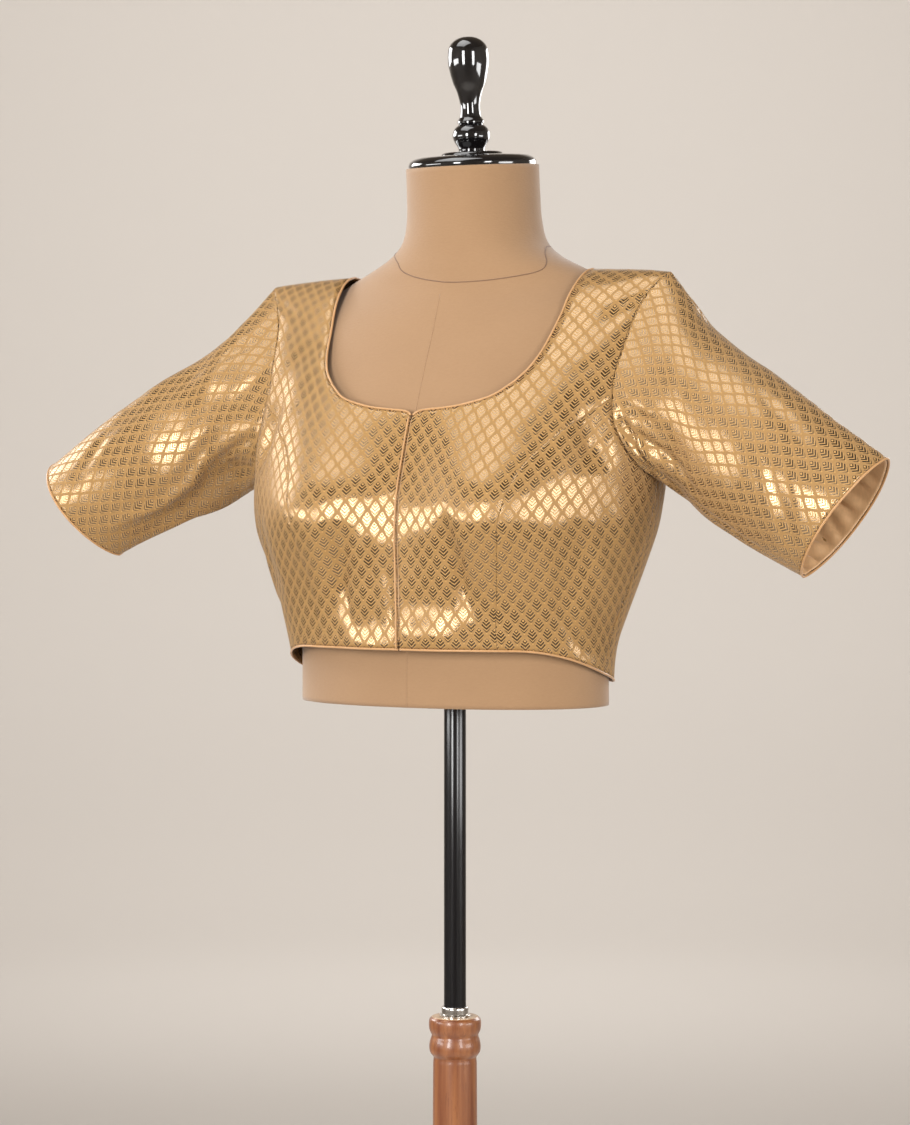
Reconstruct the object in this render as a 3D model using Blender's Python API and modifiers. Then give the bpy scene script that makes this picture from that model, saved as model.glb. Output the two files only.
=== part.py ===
"""Front-opening brocade blouse worn by a limbless dress form on a turned stand.

Metres, +Z up, origin at the middle of the stand's underside. The front faces -Y and the wearer's left
is +X. The cloth is laid out by an angle and a height: the angle runs from 0 at the centre front, or the
centre back, to 90 at the side seam. Every panel edge is a line in those two numbers, so that neighbours
share their seams.
"""

import math
from collections import namedtuple

import bmesh
import bpy
from mathutils import Vector

# Cloth
SHELL_WALL = 0.0012
LINING_WALL = 0.0010
SEAM_HALF_GAP = 0.0002
SHOULDER_HALF_GAP = 0.0010  # the walls lean together over the shoulder
FIT_GAP = 0.0003
PIPING_RADIUS = 0.0013
PIPING_SIDES = 1  # bevel resolution 1 makes six sides

# Panel grids: columns across, rows up
ROWS = 13
NECK_COLUMNS = 7
STRAP_COLUMNS = 4
STRAP_ROWS = 8
SIDE_COLUMNS = 7
SLEEVE_ROWS = 14
EDGE_PULL = 3  # how late a column bends over to its place on the top edge

# Heights above the floor
HEM_FRONT = 0.949
HEM_DROP = 0.031
HEM_FLAT_TO = 38.0  # degrees from the centre front
HEM_LOW_FROM = 118.0
RIDGE = 1.279  # the shoulder seam
SHOULDER_DROP = 0.007
SHOULDER_DROP_FROM = 1.20
SHOULDER_TIP_X = 0.197
SHOULDER_Y = 0.030
UNDERARM = 1.096
NOTCH = 1.162  # where the shaped front seam meets the armhole

# Bust cups
CUP_X = 0.088
CUP_HEIGHT = 1.066
CUP_RISE = 0.027
CUP_WIDTH = 0.040
CUP_ABOVE = 0.045
CUP_BELOW = 0.036

# Front opening
FRONT_GAP = 0.0022
LAP_WIDTH = 0.026
LAP_MARGIN = 0.006

Section = namedtuple(
    "Section",
    "height half_width front_depth back_depth middle_y squareness side_forward",
)
CLOTH_SECTIONS = [
    Section(0.900, 0.1470, 0.0985, 0.0975, -0.0070, 2.20, 0.000),
    Section(0.950, 0.1520, 0.0995, 0.0990, -0.0060, 2.20, 0.000),
    Section(1.000, 0.1690, 0.1040, 0.1010, -0.0030, 2.25, 0.000),
    Section(1.050, 0.1870, 0.1070, 0.1050, 0.0000, 2.30, 0.000),
    Section(1.080, 0.1920, 0.1055, 0.1070, 0.0020, 2.30, 0.000),
    Section(1.110, 0.1935, 0.1000, 0.1070, 0.0050, 2.30, 0.001),
    Section(1.152, 0.1910, 0.0890, 0.1045, 0.0085, 2.30, 0.004),
    Section(1.189, 0.1905, 0.0745, 0.0960, 0.0145, 2.30, 0.007),
    Section(1.205, 0.1910, 0.0655, 0.0910, 0.0180, 2.30, 0.009),
    Section(1.2360, 0.1910, 0.0480, 0.0760, 0.0260, 2.40, 0.012),
    Section(1.2540, 0.1955, 0.0375, 0.0620, 0.0300, 2.50, 0.014),
    Section(1.2670, 0.2020, 0.0265, 0.0420, 0.0340, 2.60, 0.015),
    Section(1.2745, 0.2075, 0.0160, 0.0245, 0.0362, 2.60, 0.016),
    Section(1.2777, 0.2100, 0.0080, 0.0125, 0.0375, 2.60, 0.016),
    Section(1.2790, 0.2110, 0.0000, 0.0000, 0.0380, 2.60, 0.016),
]
FORM_SECTIONS = [
    Section(0.8975, 0.1440, 0.0880, 0.0900, -0.0030, 2.10, 0.000),
    Section(0.9300, 0.1440, 0.0880, 0.0900, -0.0030, 2.10, 0.000),
    Section(0.9600, 0.1450, 0.0880, 0.0900, -0.0020, 2.10, 0.000),
    Section(1.0000, 0.1500, 0.0890, 0.0910, 0.0000, 2.15, 0.000),
    Section(1.0400, 0.1580, 0.0920, 0.0940, 0.0020, 2.20, 0.000),
    Section(1.0800, 0.1650, 0.0930, 0.0970, 0.0050, 2.25, 0.000),
    Section(1.1200, 0.1690, 0.0885, 0.0970, 0.0080, 2.20, 0.000),
    Section(1.1520, 0.1700, 0.0835, 0.0945, 0.0095, 2.10, 0.000),
    Section(1.1890, 0.1690, 0.0730, 0.0885, 0.0145, 2.00, 0.000),
    Section(1.2200, 0.1660, 0.0665, 0.0770, 0.0225, 1.85, 0.000),
    Section(1.2400, 0.1610, 0.0645, 0.0700, 0.0290, 1.65, 0.000),
    Section(1.2560, 0.1490, 0.0635, 0.0660, 0.0345, 1.50, 0.000),
    Section(1.2680, 0.1323, 0.0640, 0.0650, 0.0385, 1.50, 0.000),
    Section(1.2800, 0.1077, 0.0640, 0.0650, 0.0400, 1.65, 0.000),
    Section(1.2920, 0.0825, 0.0630, 0.0650, 0.0405, 1.85, 0.000),
    Section(1.3050, 0.0665, 0.0622, 0.0635, 0.0400, 2.00, 0.000),
    Section(1.3250, 0.0608, 0.0608, 0.0610, 0.0385, 2.00, 0.000),
    Section(1.3500, 0.0598, 0.0598, 0.0598, 0.0365, 2.00, 0.000),
    Section(1.3737, 0.0596, 0.0596, 0.0596, 0.0345, 2.00, 0.000),
]

# One half of the blouse, front or back. Each table's first column is what it is read by.
Half = namedtuple("Half", "is_back neck_low neck_rise line armhole")
FRONT = Half(
    is_back=False,
    neck_low=[  # distance from the centre, height
        (0.0, 1.1520),
        (0.036, 1.1550),
        (0.056, 1.1590),
        (0.075, 1.1655),
        (0.090, 1.1770),
    ],
    neck_rise=[  # height, distance from the centre
        (1.177, 0.0900),
        (1.189, 0.1000),
        (1.205, 0.1070),
        (1.236, 0.1138),
        (1.252, 0.1158),
        (1.279, 0.1200),
    ],
    line=[  # shaped seam from hem over the cup to the armhole: height, distance from the centre
        (0.945, 0.0862),
        (0.973, 0.0866),
        (1.012, 0.0920),
        (1.035, 0.0968),
        (1.066, 0.1020),
        (1.082, 0.1054),
        (1.103, 0.1115),
        (1.122, 0.1240),
        (1.140, 0.1430),
        (1.162, 0.1687),
    ],
    armhole=[  # height, angle from the centre front
        (1.162, 60.8),
        (1.180, 60.4),
        (1.210, 62.5),
        (1.236, 65.0),
        (1.256, 66.0),
        (1.279, 66.0),
    ],
)
BACK = Half(
    is_back=True,
    neck_low=[(0.0, 1.160), (0.036, 1.1625), (0.062, 1.170), (0.082, 1.181), (0.096, 1.198)],
    neck_rise=[(1.198, 0.0960), (1.215, 0.1030), (1.240, 0.1100), (1.260, 0.1150), (1.279, 0.1200)],
    line=[(0.920, 0.0760), (1.000, 0.0850), (1.060, 0.1050), (1.110, 0.1350), (1.162, 0.1710)],
    armhole=[
        (1.162, 62.9),
        (1.180, 63.5),
        (1.210, 65.0),
        (1.236, 66.0),
        (1.279, 66.0),
    ],
)

# Largest folds of the body, as soft troughs: from one place to another on the front or back, measured
# as distance from the centre and height. side is 1 on the wearer's left, -1 on the right.
Trough = namedtuple("Trough", "is_back side x0 z0 x1 z1 half_width depth")
BODY_TROUGHS = [
    Trough(False, 1, 0.046, 1.064, 0.068, 0.972, 0.0110, 0.0042),
    Trough(False, -1, 0.050, 1.058, 0.062, 0.968, 0.0120, 0.0050),
    Trough(False, 1, 0.152, 1.158, 0.163, 1.095, 0.0090, 0.0050),
    Trough(False, -1, 0.148, 1.168, 0.166, 1.100, 0.0090, 0.0050),
    Trough(False, 1, 0.160, 1.060, 0.132, 0.960, 0.0110, 0.0032),
    Trough(False, -1, 0.164, 1.066, 0.136, 0.975, 0.0110, 0.0032),
    Trough(True, 1, 0.150, 1.165, 0.165, 1.100, 0.0100, 0.0045),
    Trough(True, -1, 0.147, 1.170, 0.168, 1.095, 0.0100, 0.0045),
    Trough(True, 1, 0.100, 1.020, 0.120, 0.950, 0.0120, 0.0030),
    Trough(True, -1, 0.096, 1.030, 0.122, 0.955, 0.0120, 0.0030),
]

# Sleeve rings from the armhole to the cuff, by their top and bottom edges
Ring = namedtuple("Ring", "along top_x top_z bottom_x bottom_z half_depth middle_y pinch")
SLEEVE_RINGS = [
    Ring(0.10, 0.2040, 1.2640, 0.2040, 1.0880, 0.0605, 0.0250, 1.00),
    Ring(0.20, 0.2165, 1.2480, 0.2130, 1.0800, 0.0610, 0.0250, 1.00),
    Ring(0.30, 0.2330, 1.2270, 0.2240, 1.0710, 0.0605, 0.0175, 1.00),
    Ring(0.42, 0.2610, 1.2065, 0.2400, 1.0600, 0.0585, 0.0065, 1.02),
    Ring(0.58, 0.3010, 1.1825, 0.2655, 1.0475, 0.0550, -0.0080, 1.06),
    Ring(0.74, 0.3420, 1.1555, 0.2920, 1.0345, 0.0510, -0.0180, 1.12),
    Ring(0.88, 0.3785, 1.1305, 0.3160, 1.0225, 0.0470, -0.0245, 1.20),
    Ring(1.00, 0.4075, 1.1100, 0.3360, 1.0130, 0.0445, -0.0265, 1.28),
]
# Folds of a sleeve: angle round it from its top edge through the front, stretch along it, spread and depth
SleeveTrough = namedtuple("SleeveTrough", "side angle start end spread depth")
SLEEVE_TROUGHS = [
    SleeveTrough(1, 118, -0.06, 0.42, 13, 0.0055),
    SleeveTrough(1, 150, -0.06, 0.34, 11, 0.0050),
    SleeveTrough(1, 62, 0.55, 1.10, 15, 0.0030),
    SleeveTrough(1, 240, -0.06, 0.40, 13, 0.0050),
    SleeveTrough(-1, 122, -0.06, 0.46, 12, 0.0060),
    SleeveTrough(-1, 152, -0.06, 0.30, 10, 0.0045),
    SleeveTrough(-1, 48, 0.20, 0.85, 15, 0.0030),
    SleeveTrough(-1, 236, -0.06, 0.40, 13, 0.0050),
]
RIGHT_LIFT = 0.012  # the right sleeve's underside hangs this much higher
SLEEVE_TOP_GAP = 0.0009  # the sleeve head bends down from the seam, and its wall needs room there
LINING_FROM = 0.72

# Dress form
FORM_COLUMNS = 32
FORM_ROWS = 26
FORM_CUP_RISE = 0.017
NECK_TILT = math.radians(5.0)
NECK_TILT_FROM = 1.300

# Stand
POLE_RADIUS = 0.0097
POLE_GAP = 0.0004
POLE_FOOT = 0.330
SOCKET_TOP = 0.976
COLUMN_TOP = 0.619
COLUMN_FOOT = 0.0453
BORE_FLOOR = 0.055
BASE_RADIUS = 0.180
FERRULE_RADIUS = 0.0118
FERRULE_TOP = 0.6275
TURNED_STEPS = 24

# Turned outlines, top to bottom: radius, height
CAP_TOP = 0.0134
FINIAL_OUTLINE = [
    (0.0000, 0.1022),
    (0.0064, 0.1018),
    (0.0132, 0.0983),
    (0.0172, 0.0926),
    (0.0184, 0.0830),
    (0.0178, 0.0752),
    (0.0148, 0.0622),
    (0.0112, 0.0528),
    (0.0088, 0.0415),
    (0.0096, 0.0313),
    (0.0118, 0.0276),
    (0.0120, 0.0258),
    (0.0106, 0.0246),
    (0.0148, 0.0208),
    (0.0168, 0.0150),
    (0.0156, 0.0098),
    (0.0122, 0.0038),
    (0.0116, 0.0003),
    (0.0000, 0.0003),
]
CAP_OUTLINE = [
    (0.0000, 0.0134),
    (0.0240, 0.0134),
    (0.0268, 0.0124),
    (0.0280, 0.0104),
    (0.0420, 0.0100),
    (0.0510, 0.0088),
    (0.0556, 0.0062),
    (0.0574, 0.0030),
    (0.0572, 0.0003),
    (0.0000, 0.0003),
]
COLUMN_OUTLINE = [  # from the top of the upper bead down to the foot
    (0.0205, 0.6190),
    (0.0226, 0.6165),
    (0.0231, 0.6115),
    (0.0224, 0.6065),
    (0.0208, 0.6030),
    (0.0208, 0.6015),
    (0.0221, 0.5975),
    (0.0228, 0.5925),
    (0.0221, 0.5875),
    (0.0200, 0.5845),
    (0.0190, 0.5830),
    (0.0194, 0.5780),
    (0.0200, 0.4300),
    (0.0212, 0.2400),
    (0.0222, 0.1250),
    (0.0212, 0.1180),
    (0.0236, 0.1120),
    (0.0244, 0.1050),
    (0.0236, 0.0980),
    (0.0216, 0.0920),
    (0.0240, 0.0700),
    (0.0300, 0.0540),
    (0.0320, 0.0453),
]
BASE_OUTLINE = [
    (0.0000, 0.0450),
    (0.0350, 0.0450),
    (0.0440, 0.0430),
    (0.0520, 0.0375),
    (0.0900, 0.0330),
    (0.1450, 0.0300),
    (0.1560, 0.0290),
    (0.1600, 0.0250),
    (0.1720, 0.0240),
    (0.1785, 0.0200),
    (0.1800, 0.0130),
    (0.1785, 0.0050),
    (0.1750, 0.0000),
    (0.0000, 0.0000),
]


def material(name, colour, roughness, metallic=0.0):
    made = bpy.data.materials.new(name)
    made.use_nodes = True
    shader = made.node_tree.nodes["Principled BSDF"]
    shader.inputs["Base Color"].default_value = (*colour, 1.0)
    shader.inputs["Roughness"].default_value = roughness
    shader.inputs["Metallic"].default_value = metallic
    return made


def mix(start, end, share):
    return start + (end - start) * share


def soft_step(value, low, high):
    share = max(0.0, min(1.0, (value - low) / (high - low)))
    return share * share * (3 - 2 * share)


def on_curve(rows, key):
    """The table's other columns at this key, on a smooth curve through its rows."""
    index = max(0, min(len(rows) - 2, sum(row[0] <= key for row in rows) - 1))
    before, start, end, after = (
        rows[max(0, min(len(rows) - 1, index + step))] for step in (-1, 0, 1, 2)
    )
    span = end[0] - start[0]
    share = max(0.0, min(1.0, (key - start[0]) / span))
    found = []
    for b, s, e, a in list(zip(before, start, end, after))[1:]:
        leave = (e - b) / (end[0] - before[0]) * span
        arrive = (a - s) / (after[0] - start[0]) * span
        found.append(
            s * (1 + 2 * share) * (1 - share) ** 2
            + leave * share * (1 - share) ** 2
            + e * share**2 * (3 - 2 * share)
            + arrive * share**2 * (share - 1)
        )
    return found


def cup(x, height, rise):
    reach = CUP_ABOVE if height > CUP_HEIGHT else CUP_BELOW
    off = ((x - CUP_X) / CUP_WIDTH) ** 2 + ((height - CUP_HEIGHT) / reach) ** 2
    return rise * math.exp(-off / 2)


def ring_point(sections, angle, height, is_back, side, cup_rise):
    """A point of a body's ring at this height, the angle being 0 at its centre and 90 at its side."""
    half_width, front, back, middle_y, squareness, forward = on_curve(sections, height)
    turn = math.radians(angle)
    across = abs(math.sin(turn)) ** (2 / squareness)
    along = abs(math.cos(turn)) ** (2 / squareness)
    x = half_width * across
    y = middle_y - forward * across**2
    y += back * along if is_back else -front * along - cup(x, height, cup_rise)
    return Vector((side * x, y, height))


def bare_point(angle, height, half, side):
    """The blouse's outer surface before its folds."""
    point = ring_point(CLOTH_SECTIONS, angle, height, half.is_back, side, CUP_RISE)
    slope = (abs(point.x) / SHOULDER_TIP_X) ** 4
    point.z -= SHOULDER_DROP * slope * soft_step(height, SHOULDER_DROP_FROM, RIDGE)
    return point


def outward(angle, height, half, side):
    """The blouse's outward normal."""
    step = 0.001
    low, high = max(0.0, angle - 0.3), min(90.0, angle + 0.3)
    under = min(height, RIDGE - step)
    across = bare_point(high, under, half, side) - bare_point(low, under, half, side)
    up = bare_point(angle, under + step, half, side) - bare_point(angle, under - step, half, side)
    found = across.cross(up).normalized()
    return found if (side > 0) != half.is_back else -found


def trough_depth(point, half, side):
    total = 0.0
    for t in BODY_TROUGHS:
        if t.is_back != half.is_back or t.side != side:
            continue
        start, end = Vector((t.x0, t.z0)), Vector((t.x1, t.z1))
        here = Vector((abs(point.x), point.z)) - start
        run = end - start
        share = here.dot(run) / run.length_squared
        off = (here - run * share).length
        ends = soft_step(share, -0.15, 0.30) * (1 - soft_step(share, 0.65, 1.2))
        total += t.depth * ends * math.exp(-((off / t.half_width) ** 2))
    return total


def cloth_point(angle, height, half, side, inside=0.0):
    """The blouse's outer surface, or a surface this far inside it."""
    point = bare_point(angle, height, half, side)
    return point - outward(angle, height, half, side) * (trough_depth(point, half, side) + inside)


def angle_at(x, height):
    half_width, _, _, _, squareness, _ = on_curve(CLOTH_SECTIONS, height)
    return math.degrees(math.asin(min(1.0, x / half_width) ** (squareness / 2)))


def hem_height(angle, half):
    from_front = 180 - angle if half.is_back else angle
    return HEM_FRONT - HEM_DROP * soft_step(from_front, HEM_FLAT_TO, HEM_LOW_FROM)


def line_angle(half, height):
    return angle_at(on_curve(half.line, height)[0], height)


def armhole_low(half, share):
    """The armhole's lower quarter, from the notch at share 0 to the underarm at 1: angle and height."""
    notch = half.armhole[0][1]
    turn = math.radians(90 * share)
    return mix(notch, 90, 1 - math.cos(turn)), NOTCH - (NOTCH - UNDERARM) * math.sin(turn)


def neck_edge(half, share):
    """The neckline's low part, from the centre at share 0 to its corner at 1."""
    x = max(half.neck_low[-1][0] * share, 0.0 if half.is_back else FRONT_GAP / 2)
    height = on_curve(half.neck_low, x)[0]
    return angle_at(x, height), height


def strap_edge(half, rows_up, at_neck):
    """The strap's neck edge or armhole edge, from the bottom at 0 to the shoulder seam at 1."""
    bottom = half.neck_rise[0][0] if at_neck else NOTCH
    height = mix(RIDGE, bottom, (1 - rows_up) ** 2)
    if at_neck:
        return angle_at(on_curve(half.neck_rise, height)[0], height), height
    return on_curve(half.armhole, height)[0], height


def inner_top(half, share):
    """The top of the inner columns: the low neckline, then a line across to the notch."""
    corner = NECK_COLUMNS / (NECK_COLUMNS + STRAP_COLUMNS)
    if share <= corner:
        return neck_edge(half, share / corner)
    rest = (share - corner) / (1 - corner)
    neck, arm = neck_edge(half, 1), strap_edge(half, 0, False)
    return mix(neck[0], arm[0], rest), mix(neck[1], arm[1], rest)


def inner_place(half, across, up):
    """Centre line to the shaped seam, hem to neckline: angle and height."""
    gap = 0.0 if half.is_back else FRONT_GAP / 2

    def column(height):
        return mix(angle_at(gap, height), line_angle(half, height), across)

    top_angle, top = inner_top(half, across)
    hem = hem_height(column(HEM_FRONT), half)
    height = mix(hem, top, up)
    return column(height) + up**EDGE_PULL * (top_angle - column(top)), height


def outer_place(half, across, up):
    """Shaped seam to the side seam, hem to armhole: angle and height."""

    def column(height):
        return mix(line_angle(half, height), 90, across)

    top_angle, top = armhole_low(half, across)
    height = mix(hem_height(column(HEM_FRONT), half), top, up)
    return column(height) + up**EDGE_PULL * (top_angle - column(top)), height


def strap_place(half, across, up):
    neck, arm = strap_edge(half, up, True), strap_edge(half, up, False)
    return mix(neck[0], arm[0], across), mix(neck[1], arm[1], across)


def sleeve_trough(side, angle, along):
    total = 0.0
    for t in SLEEVE_TROUGHS:
        if t.side == side:
            middle, reach = (t.start + t.end) / 2, (t.end - t.start) / 2
            share = max(0.0, 1 - ((along - middle) / reach) ** 2)
            total += t.depth * share * math.exp(-(((angle - t.angle) / t.spread) ** 2))
    return total


def armhole_loop(side):
    """The armhole's points, from the shoulder seam down the front, under the arm and up the back."""
    front = [strap_edge(FRONT, 1 - k / STRAP_ROWS, False) for k in range(STRAP_ROWS)]
    front += [armhole_low(FRONT, k / SIDE_COLUMNS) for k in range(SIDE_COLUMNS + 1)]
    back = [armhole_low(BACK, 1 - k / SIDE_COLUMNS) for k in range(1, SIDE_COLUMNS)]
    back += [strap_edge(BACK, k / STRAP_ROWS, False) for k in range(STRAP_ROWS)]
    return [cloth_point(*p, FRONT, side) for p in front] + [cloth_point(*p, BACK, side) for p in back]


def sleeve_ring(ring, side, angle):
    lift = RIGHT_LIFT * soft_step(ring.along, 0.0, 0.3) if side < 0 else 0.0
    top, bottom = Vector((ring.top_x, ring.top_z)), Vector((ring.bottom_x, ring.bottom_z + lift))
    turn = math.radians(angle)
    middle = (top + bottom) / 2 + (top - bottom) / 2 * math.cos(turn)
    bulge = math.copysign(abs(math.sin(turn)) ** ring.pinch, math.sin(turn))
    return Vector((side * middle.x, ring.middle_y - ring.half_depth * bulge, middle.y))


def sleeve_lines(side):
    """For each armhole point, the table of points down the sleeve from it: along, x, y, z."""
    loop = armhole_loop(side)
    lines = []
    for index, start in enumerate(loop):
        angle = 360 * index / len(loop)
        rows = [(0.0, *start)]
        for ring in SLEEVE_RINGS:
            rows.append((ring.along, *sleeve_ring(ring, side, angle)))
        lines.append(rows)
    return lines


def grid(mesh, columns, rows, place):
    """A grid whose points are set by place(share across, share up)."""
    made = bmesh.ops.create_grid(mesh, x_segments=columns, y_segments=rows, size=0.5)
    for vertex in made["verts"]:
        vertex.co = place(vertex.co.x + 0.5, vertex.co.y + 0.5)


def face_outwards(mesh, middle):
    """Turns the open surface's faces away from middle(height)."""
    mesh.normal_update()
    out = sum(f.normal.dot(f.calc_center_median() - middle(f.calc_center_median())) for f in mesh.faces)
    if out < 0:
        bmesh.ops.reverse_faces(mesh, faces=mesh.faces)
    mesh.normal_update()


def draw_in(mesh, distance):
    """Moves the edge of an open surface in from its seams."""
    moves = {}
    for vertex in mesh.verts:
        if vertex.is_boundary:
            centre = sum((f.calc_center_median() for f in vertex.link_faces), Vector())
            towards = centre / len(vertex.link_faces) - vertex.co
            moves[vertex] = towards.normalized() * distance(vertex)
    for vertex, move in moves.items():
        vertex.co += move


def new_object(name, data, finish, collection):
    made = bpy.data.objects.new(name, data)
    collection.objects.link(made)
    if data is not None:
        data.materials.append(finish)
    return made


def cloth_object(name, mesh, wall, finish, collection):
    data = bpy.data.meshes.new(name)
    mesh.to_mesh(data)
    mesh.free()
    made = new_object(name, data, finish, collection)
    solidify = made.modifiers.new("Wall", "SOLIDIFY")
    solidify.thickness = wall
    solidify.offset = -1
    solidify.use_even_offset = True
    return made


def body_axis(point):
    return Vector((0.0, 0.02, point.z))


def panel(name, blocks, finish, collection):
    """A body panel from its blocks: the half, the side, a place function, columns and rows."""
    mesh = bmesh.new()
    for half, side, place, columns, rows in blocks:
        grid(mesh, columns, rows, lambda u, v, h=half, s=side, p=place: cloth_point(*p(h, u, v), h, s))
    bmesh.ops.remove_doubles(mesh, verts=mesh.verts, dist=0.00005)
    bmesh.ops.recalc_face_normals(mesh, faces=mesh.faces)
    face_outwards(mesh, body_axis)

    def distance(vertex):
        on_ridge = vertex.co.z > RIDGE - 1.2 * SHOULDER_DROP and abs(vertex.co.y - SHOULDER_Y) < 0.02
        return SHOULDER_HALF_GAP if on_ridge else SEAM_HALF_GAP

    draw_in(mesh, distance)
    return cloth_object(name, mesh, SHELL_WALL, finish, collection)


def inner_blocks(half, side):
    columns = NECK_COLUMNS + STRAP_COLUMNS
    return [
        (half, side, inner_place, columns, ROWS),
        (half, side, strap_place, STRAP_COLUMNS, STRAP_ROWS),
    ]


def outer_blocks(half, side):
    return [(half, side, outer_place, SIDE_COLUMNS, ROWS)]


def sleeve_surface(side, start, rows, inside):
    """The sleeve's surface from this share of its length to the cuff, or a surface inside it."""
    lines = sleeve_lines(side)
    count = len(lines)

    def place(u, v):
        index = round(u * count) % count
        along = mix(start, 1.0, v)
        point = Vector(on_curve(lines[index], along))
        middle = sum((Vector(on_curve(lines[k], along)) for k in (0, count // 2)), Vector()) / 2
        angle = 360 * index / count
        return point + (middle - point).normalized() * sleeve_trough(side, angle, along)

    mesh = bmesh.new()
    grid(mesh, count, rows, place)
    bmesh.ops.remove_doubles(mesh, verts=mesh.verts, dist=0.00005)
    bmesh.ops.recalc_face_normals(mesh, faces=mesh.faces)
    shoulder = Vector((side * 0.20, 0.015, 1.185))
    run = Vector((side * 0.372, -0.0245, 1.062)) - shoulder
    face_outwards(mesh, lambda p: shoulder + run * ((p - shoulder).dot(run) / run.length_squared))
    for vertex in mesh.verts:
        vertex.co -= vertex.normal * inside
    return mesh


def sleeve(name, side, finish, collection):
    mesh = sleeve_surface(side, 0.0, SLEEVE_ROWS, 0.0)

    def distance(vertex):
        return mix(SEAM_HALF_GAP, SLEEVE_TOP_GAP, soft_step(vertex.co.z, NOTCH, RIDGE))

    draw_in(mesh, distance)
    return cloth_object(name, mesh, SHELL_WALL, finish, collection)


def sleeve_lining(name, side, finish, collection):
    mesh = sleeve_surface(side, LINING_FROM, 5, SHELL_WALL + FIT_GAP)
    draw_in(mesh, lambda vertex: SEAM_HALF_GAP)
    return cloth_object(name, mesh, LINING_WALL, finish, collection)


def front_lap(name, finish, collection):
    """The strip behind the front opening that carries the hooks."""

    def place(u, v):
        height = mix(HEM_FRONT + LAP_MARGIN, FRONT.neck_low[0][1] - LAP_MARGIN / 2, v)
        x = mix(-LAP_WIDTH / 2, LAP_WIDTH / 2, u)
        angle = angle_at(abs(x), height)
        return cloth_point(angle, height, FRONT, 1 if x > 0 else -1, SHELL_WALL + FIT_GAP)

    mesh = bmesh.new()
    grid(mesh, 4, ROWS, place)
    face_outwards(mesh, body_axis)
    return cloth_object(name, mesh, LINING_WALL, finish, collection)


def piping(name, points, away, closed, finish, collection):
    """A cord along an edge's points, away from the cloth by its radius and the seam's gap."""
    curve = bpy.data.curves.new(name, "CURVE")
    curve.dimensions = "3D"
    curve.bevel_depth = PIPING_RADIUS
    curve.bevel_resolution = PIPING_SIDES
    curve.use_fill_caps = not closed
    spline = curve.splines.new("POLY")
    spline.points.add(len(points) - 1)
    for slot, point, direction in zip(spline.points, points, away):
        slot.co = (*(point + direction * (PIPING_RADIUS + FIT_GAP)), 1.0)
    spline.use_cyclic_u = closed
    made = new_object(name, curve, finish, collection)
    made.modifiers.new("Caps", "WELD").merge_threshold = 0.00001
    return made


def edge_away(places, half, side, towards):
    """For each point of an edge, its middle-of-the-wall point and the way out of the cloth there."""
    points = [cloth_point(*p, half, side, SHELL_WALL / 2) for p in places]
    away = []
    for index, place in enumerate(places):
        before, after = points[max(0, index - 1)], points[min(len(points) - 1, index + 1)]
        out = (after - before).cross(outward(*place, half, side)).normalized()
        away.append(out if out.dot(towards(points[index])) > 0 else -out)
    return points, away


def half_neck(half, side):
    """One half's neckline from its centre to the shoulder seam."""
    low = [neck_edge(half, k / NECK_COLUMNS) for k in range(NECK_COLUMNS)]
    rise = [strap_edge(half, k / STRAP_ROWS, True) for k in range(STRAP_ROWS + 1)]
    return edge_away(low + rise, half, side, lambda p: Vector((-p.x, 0.0, 1.25 * RIDGE - p.z)))


def neck_piping(name, finish, collection):
    """From the left front opening, round the back of the neck, to the right front opening."""
    points, away = [], []
    for half, side, down in ((FRONT, 1, False), (BACK, 1, True), (BACK, -1, False), (FRONT, -1, True)):
        p, a = half_neck(half, side)
        if down:
            p, a = p[::-1], a[::-1]
        points += p if not points else p[1:]
        away += a if not away else a[1:]
    return piping(name, points, away, False, finish, collection)


def hem_piping(name, finish, collection):
    """Round the hem from the left front opening to the right."""
    points = []
    for half, side, down in ((FRONT, 1, False), (BACK, 1, True), (BACK, -1, False), (FRONT, -1, True)):
        inner, outer = NECK_COLUMNS + STRAP_COLUMNS, SIDE_COLUMNS
        places = [inner_place(half, k / inner, 0.0) for k in range(inner)]
        places += [outer_place(half, k / outer, 0.0) for k in range(outer + 1)]
        found = [cloth_point(*p, half, side, SHELL_WALL / 2) for p in places]
        found = found[::-1] if down else found
        points += found if not points else found[1:]
    return piping(name, points, [Vector((0, 0, -1))] * len(points), False, finish, collection)


def front_edge_piping(name, finish, collection):
    """Down the right front's overlapping edge."""
    heights = [mix(HEM_FRONT, FRONT.neck_low[0][1], k / ROWS) for k in range(ROWS + 1)]
    points = [
        cloth_point(angle_at(FRONT_GAP / 2, h), h, FRONT, -1, -PIPING_RADIUS / 2) for h in heights
    ]
    points = [p + Vector((-0.0011, -0.0011, 0)) for p in points]
    return piping(name, points, [Vector()] * len(points), False, finish, collection)


def cuff_piping(name, side, finish, collection):
    lines = sleeve_lines(side)
    middle = sum((Vector(row[-1][1:]) for row in lines), Vector()) / len(lines)
    points, away = [], []
    for index, rows in enumerate(lines):
        end, before = Vector(rows[-1][1:]), Vector(on_curve(rows, 0.97))
        inside = sleeve_trough(side, 360 * index / len(lines), 1.0) + SHELL_WALL / 2
        points.append(end + (middle - end).normalized() * inside)
        away.append((end - before).normalized())
    return piping(name, points, away, True, finish, collection)


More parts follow.
